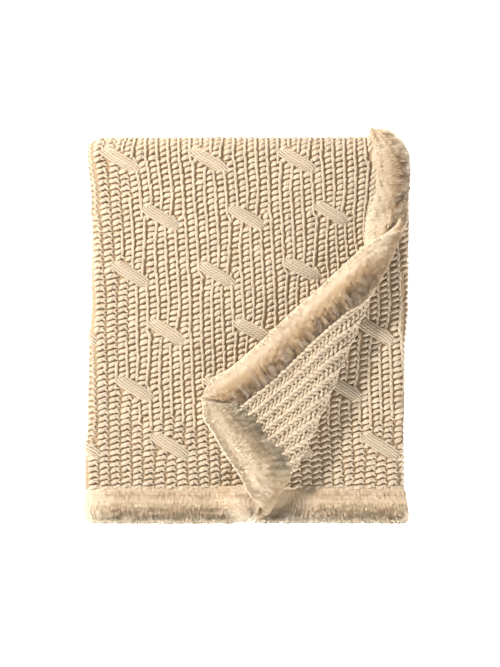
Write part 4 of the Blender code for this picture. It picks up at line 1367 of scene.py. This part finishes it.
def pile_tree(look):
    """Tufts of fibre on the plush, combed along the nap and lifted where they fan out."""
    tree = Tree("plush_pile")
    density = tree.input("Density", 400000.0)
    width = tree.input("Width", 0.0011)
    length = tree.input("Length", 0.0085)
    wildness = tree.input("Wildness", PILE_WILDNESS)
    seed = tree.input("Seed", 1, "NodeSocketInt")
    show = tree.attribute("show")
    fan = tree.attribute("fan")
    spots = tree.group.nodes.new("GeometryNodeDistributePointsOnFaces")
    spots.distribute_method = "RANDOM"
    tree.group.links.new(tree.start.outputs[0], spots.inputs["Mesh"])
    tufts = tree.math("MULTIPLY", density, tree.math("POWER", show, 1.5))
    tree.group.links.new(tufts, spots.inputs["Density"])
    tree.group.links.new(seed, spots.inputs["Seed"])
    points = tree.store(spots.outputs["Points"], "face", spots.outputs["Normal"], "FLOAT_VECTOR")
    clumps = tree.node("ShaderNodeTexNoise", {"Vector": tree.node("GeometryNodeInputPosition"),
                                              "Scale": PILE_CLUMPS, "Detail": 3.0}, out=1)
    wild = tree.node("ShaderNodeVectorMath", {0: clumps, 1: (0.5, 0.5, 0.5)}, operation="SUBTRACT")
    swirl = tree.math("MULTIPLY", wildness, tree.math("MULTIPLY_ADD", fan, 1.0 - PILE_CALM, PILE_CALM))
    wild = tree.node("ShaderNodeVectorMath", {0: wild, "Scale": swirl}, operation="SCALE")
    loose = tree.node("FunctionNodeRandomValue", {0: (-PILE_LOOSE,) * 3, 1: (PILE_LOOSE,) * 3},
                      data_type="FLOAT_VECTOR")
    heading = tree.node("ShaderNodeVectorMath", {0: tree.attribute("comb", "FLOAT_VECTOR"), 1: wild},
                        operation="ADD")
    heading = tree.node("ShaderNodeVectorMath", {0: heading, 1: loose}, operation="ADD")
    face = tree.attribute("face", "FLOAT_VECTOR")
    upright = tree.node("FunctionNodeAlignRotationToVector", {"Vector": face}, axis="Z")
    turn = tree.node("FunctionNodeAlignRotationToVector", {"Rotation": upright, "Vector": heading},
                     axis="X", pivot_axis="Z")
    shortest, longest = PILE_LENGTHS
    chance = tree.node("FunctionNodeRandomValue", {2: shortest, 3: longest}, out=1, data_type="FLOAT")
    grow = tree.math("MULTIPLY", length, chance)
    grow = tree.math("MULTIPLY", grow, tree.math("MULTIPLY_ADD", fan, *PILE_FAN_LENGTH))
    grow = tree.math("MULTIPLY", grow, tree.math("MULTIPLY_ADD", show, *PILE_SHOW_LENGTH))
    lift = tree.math("MULTIPLY", grow, tree.math("MULTIPLY_ADD", fan, *PILE_FAN_LIFT))
    size = tree.node("ShaderNodeCombineXYZ", {0: grow, 1: width, 2: lift})
    blade = tree.node("GeometryNodeCurveQuadraticBezier", PILE_BLADE)
    along = tree.node("GeometryNodeSplineParameter")
    blade = tree.store(blade, "tip", along)
    thin = tree.math("SUBTRACT", 1.0, tree.math("MULTIPLY", tree.math("POWER", along, 2.0), PILE_TAPER))
    bar = tree.node("GeometryNodeCurvePrimitiveLine", {"Start": (0.0, -0.5, 0.0), "End": (0.0, 0.5, 0.0)})
    ribbon = tree.node("GeometryNodeCurveToMesh", {"Curve": blade, "Profile Curve": bar, "Scale": thin})
    tone = tree.node("FunctionNodeRandomValue", {2: 0.0, 3: 1.0}, out=1, data_type="FLOAT")
    points = tree.store(points, "tone", tone)
    copies = tree.node("GeometryNodeInstanceOnPoints",
                       {"Points": points, "Instance": ribbon, "Rotation": turn, "Scale": size})
    return tree.finish(copies, look)


# The stage

def lamp(name, place, size, power, colour):
    """A round lamp that aims at the middle of the floor."""
    light = bpy.data.lights.new(name, "AREA")
    light.shape = "DISK"
    light.size = size
    light.energy = power
    light.color = colour
    thing = new_object(name, light)
    thing.location = place
    thing.rotation_euler = (-Vector(place)).to_track_quat("-Z", "Y").to_euler()


def floor_look():
    look = Look("pale_floor", 0.9)
    pale = colours().ground
    look.colour(look.mix(look.noise(FLOOR_TONE_SCALE), opaque(pale, 0.985), opaque(pale)))
    look.shader.inputs["Emission Color"].default_value = opaque(pale)
    look.shader.inputs["Emission Strength"].default_value = FLOOR_GLOW
    return look.material


class THROW_OT_stage(bpy.types.Operator):
    """Make the pale floor, the soft studio light and the camera above"""
    bl_idname = "throw.stage"
    bl_label = "Stage"

    def execute(self, context):
        scene = context.scene
        signs = ((-1, -1), (1, -1), (1, 1), (-1, 1))
        corners = np.array([(FLOOR_HALF * x, FLOOR_HALF * y, 0.0) for x, y in signs])
        ground = new_object("studio_floor", mesh_from("studio_floor", corners, [(0, 1, 2, 3)]))
        ground.data.materials.append(floor_look())
        camera = bpy.data.cameras.new("camera")
        camera.sensor_width = SENSOR
        distance = CAMERA_HEIGHT - 2.0 * FOLD_HEIGHT
        camera.lens = SENSOR * distance / (IMAGE_HEIGHT * METRES_PER_PIXEL)
        camera.clip_end = CAMERA_REACH
        eye = new_object("camera", camera)
        eye.location = (PICTURE_MIDDLE[0], PICTURE_MIDDLE[1], CAMERA_HEIGHT)
        scene.camera = eye
        for values in LAMPS:
            lamp(**values)
        world = bpy.data.worlds.new("studio")
        scene.world = world
        world.use_nodes = True
        sky = world.node_tree.nodes["Background"]
        sky.inputs["Color"].default_value = (1.0, 1.0, 1.0, 1.0)
        sky.inputs["Strength"].default_value = SKY_STRENGTH
        scene.view_settings.view_transform = "Standard"
        return {"FINISHED"}


class THROW_OT_knit(bpy.types.Operator):
    """Make the knit's base sheet, its rib stitches, cable crossings and turned side"""
    bl_idname = "throw.knit"
    bl_label = "Knit"

    def execute(self, context):
        rng = np.random.default_rng(sizes().seed)
        yarn = yarn_look("yarn", 0.2)
        stitch = stitch_tree(yarn)
        sheet = base_sheet(painted_shade_knit_look())
        pieces = rib_stitches("top", top_sites, stitch, yarn, rng)
        pieces += rib_stitches("lower", lower_sites, stitch, yarn, rng)
        pieces.append(cable_strands(yarn_look("cable_yarn", 0.30), rng))
        pieces += turned_stitches(stitch, yarn, rng)
        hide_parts("knit_panel")
        for piece in [sheet] + pieces:
            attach(piece, BODY)
        context.scene["knit_pieces"] = [piece.name for piece in pieces]
        return {"FINISHED"}


class THROW_OT_bands(bpy.types.Operator):
    """Make the plush bands and their pile"""
    bl_idname = "throw.bands"
    bl_label = "Plush Bands"

    def execute(self, context):
        size = sizes()
        root_look = pile_look("plush_root", False)
        fibre_look = pile_look("plush_fibre", True)
        names = []
        for index, kind in enumerate(BANDS):
            body = band_body(kind, root_look)
            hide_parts(kind["node"])
            source = new_object("pile_source", body.data.copy())
            pile = grown(kind["node"] + "_pile", source, pile_tree(fibre_look), {
                "Density": size.pile_density * kind["density"], "Width": size.pile_width,
                "Length": size.pile_length, "Seed": size.seed + index}, fibre_look)
            for piece in (body, pile):
                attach(piece, BODY)
                names.append(piece.name)
        context.scene["band_pieces"] = names
        return {"FINISHED"}


class THROW_OT_declare(bpy.types.Operator):
    bl_idname = "throw.declare"
    bl_label = "Declare the Sheet"

    def execute(self, context):
        return {"FINISHED"}


class THROW_PT_panel(bpy.types.Panel):
    """Lists the throw's sizes and colours, and a button for each step"""
    bl_idname = "THROW_PT_panel"
    bl_label = "Cable Knit Throw"
    bl_space_type = "VIEW_3D"
    bl_region_type = "UI"
    bl_category = "Throw"

    def draw(self, context):
        layout = self.layout
        for group in (context.scene.throw_sizes, context.scene.throw_colours):
            box = layout.box()
            for name in group.__annotations__:
                box.prop(group, name)
        for operator in OPERATORS:
            layout.operator(operator.bl_idname)


OPERATORS = (THROW_OT_stage, THROW_OT_knit, THROW_OT_bands, THROW_OT_declare)
CLASSES = (ThrowSizes, ThrowColours) + OPERATORS + (THROW_PT_panel,)


def register():
    for item in CLASSES:
        bpy.utils.register_class(item)
    bpy.types.Scene.throw_sizes = bpy.props.PointerProperty(type=ThrowSizes)
    bpy.types.Scene.throw_colours = bpy.props.PointerProperty(type=ThrowColours)


def unregister():
    del bpy.types.Scene.throw_colours
    del bpy.types.Scene.throw_sizes
    for item in reversed(CLASSES):
        bpy.utils.unregister_class(item)


def main():
    register()
    bpy.ops.throw.stage()
    bpy.ops.throw.knit()
    bpy.ops.throw.bands()
    bpy.ops.throw.declare()


if __name__ == "__main__":
    main()
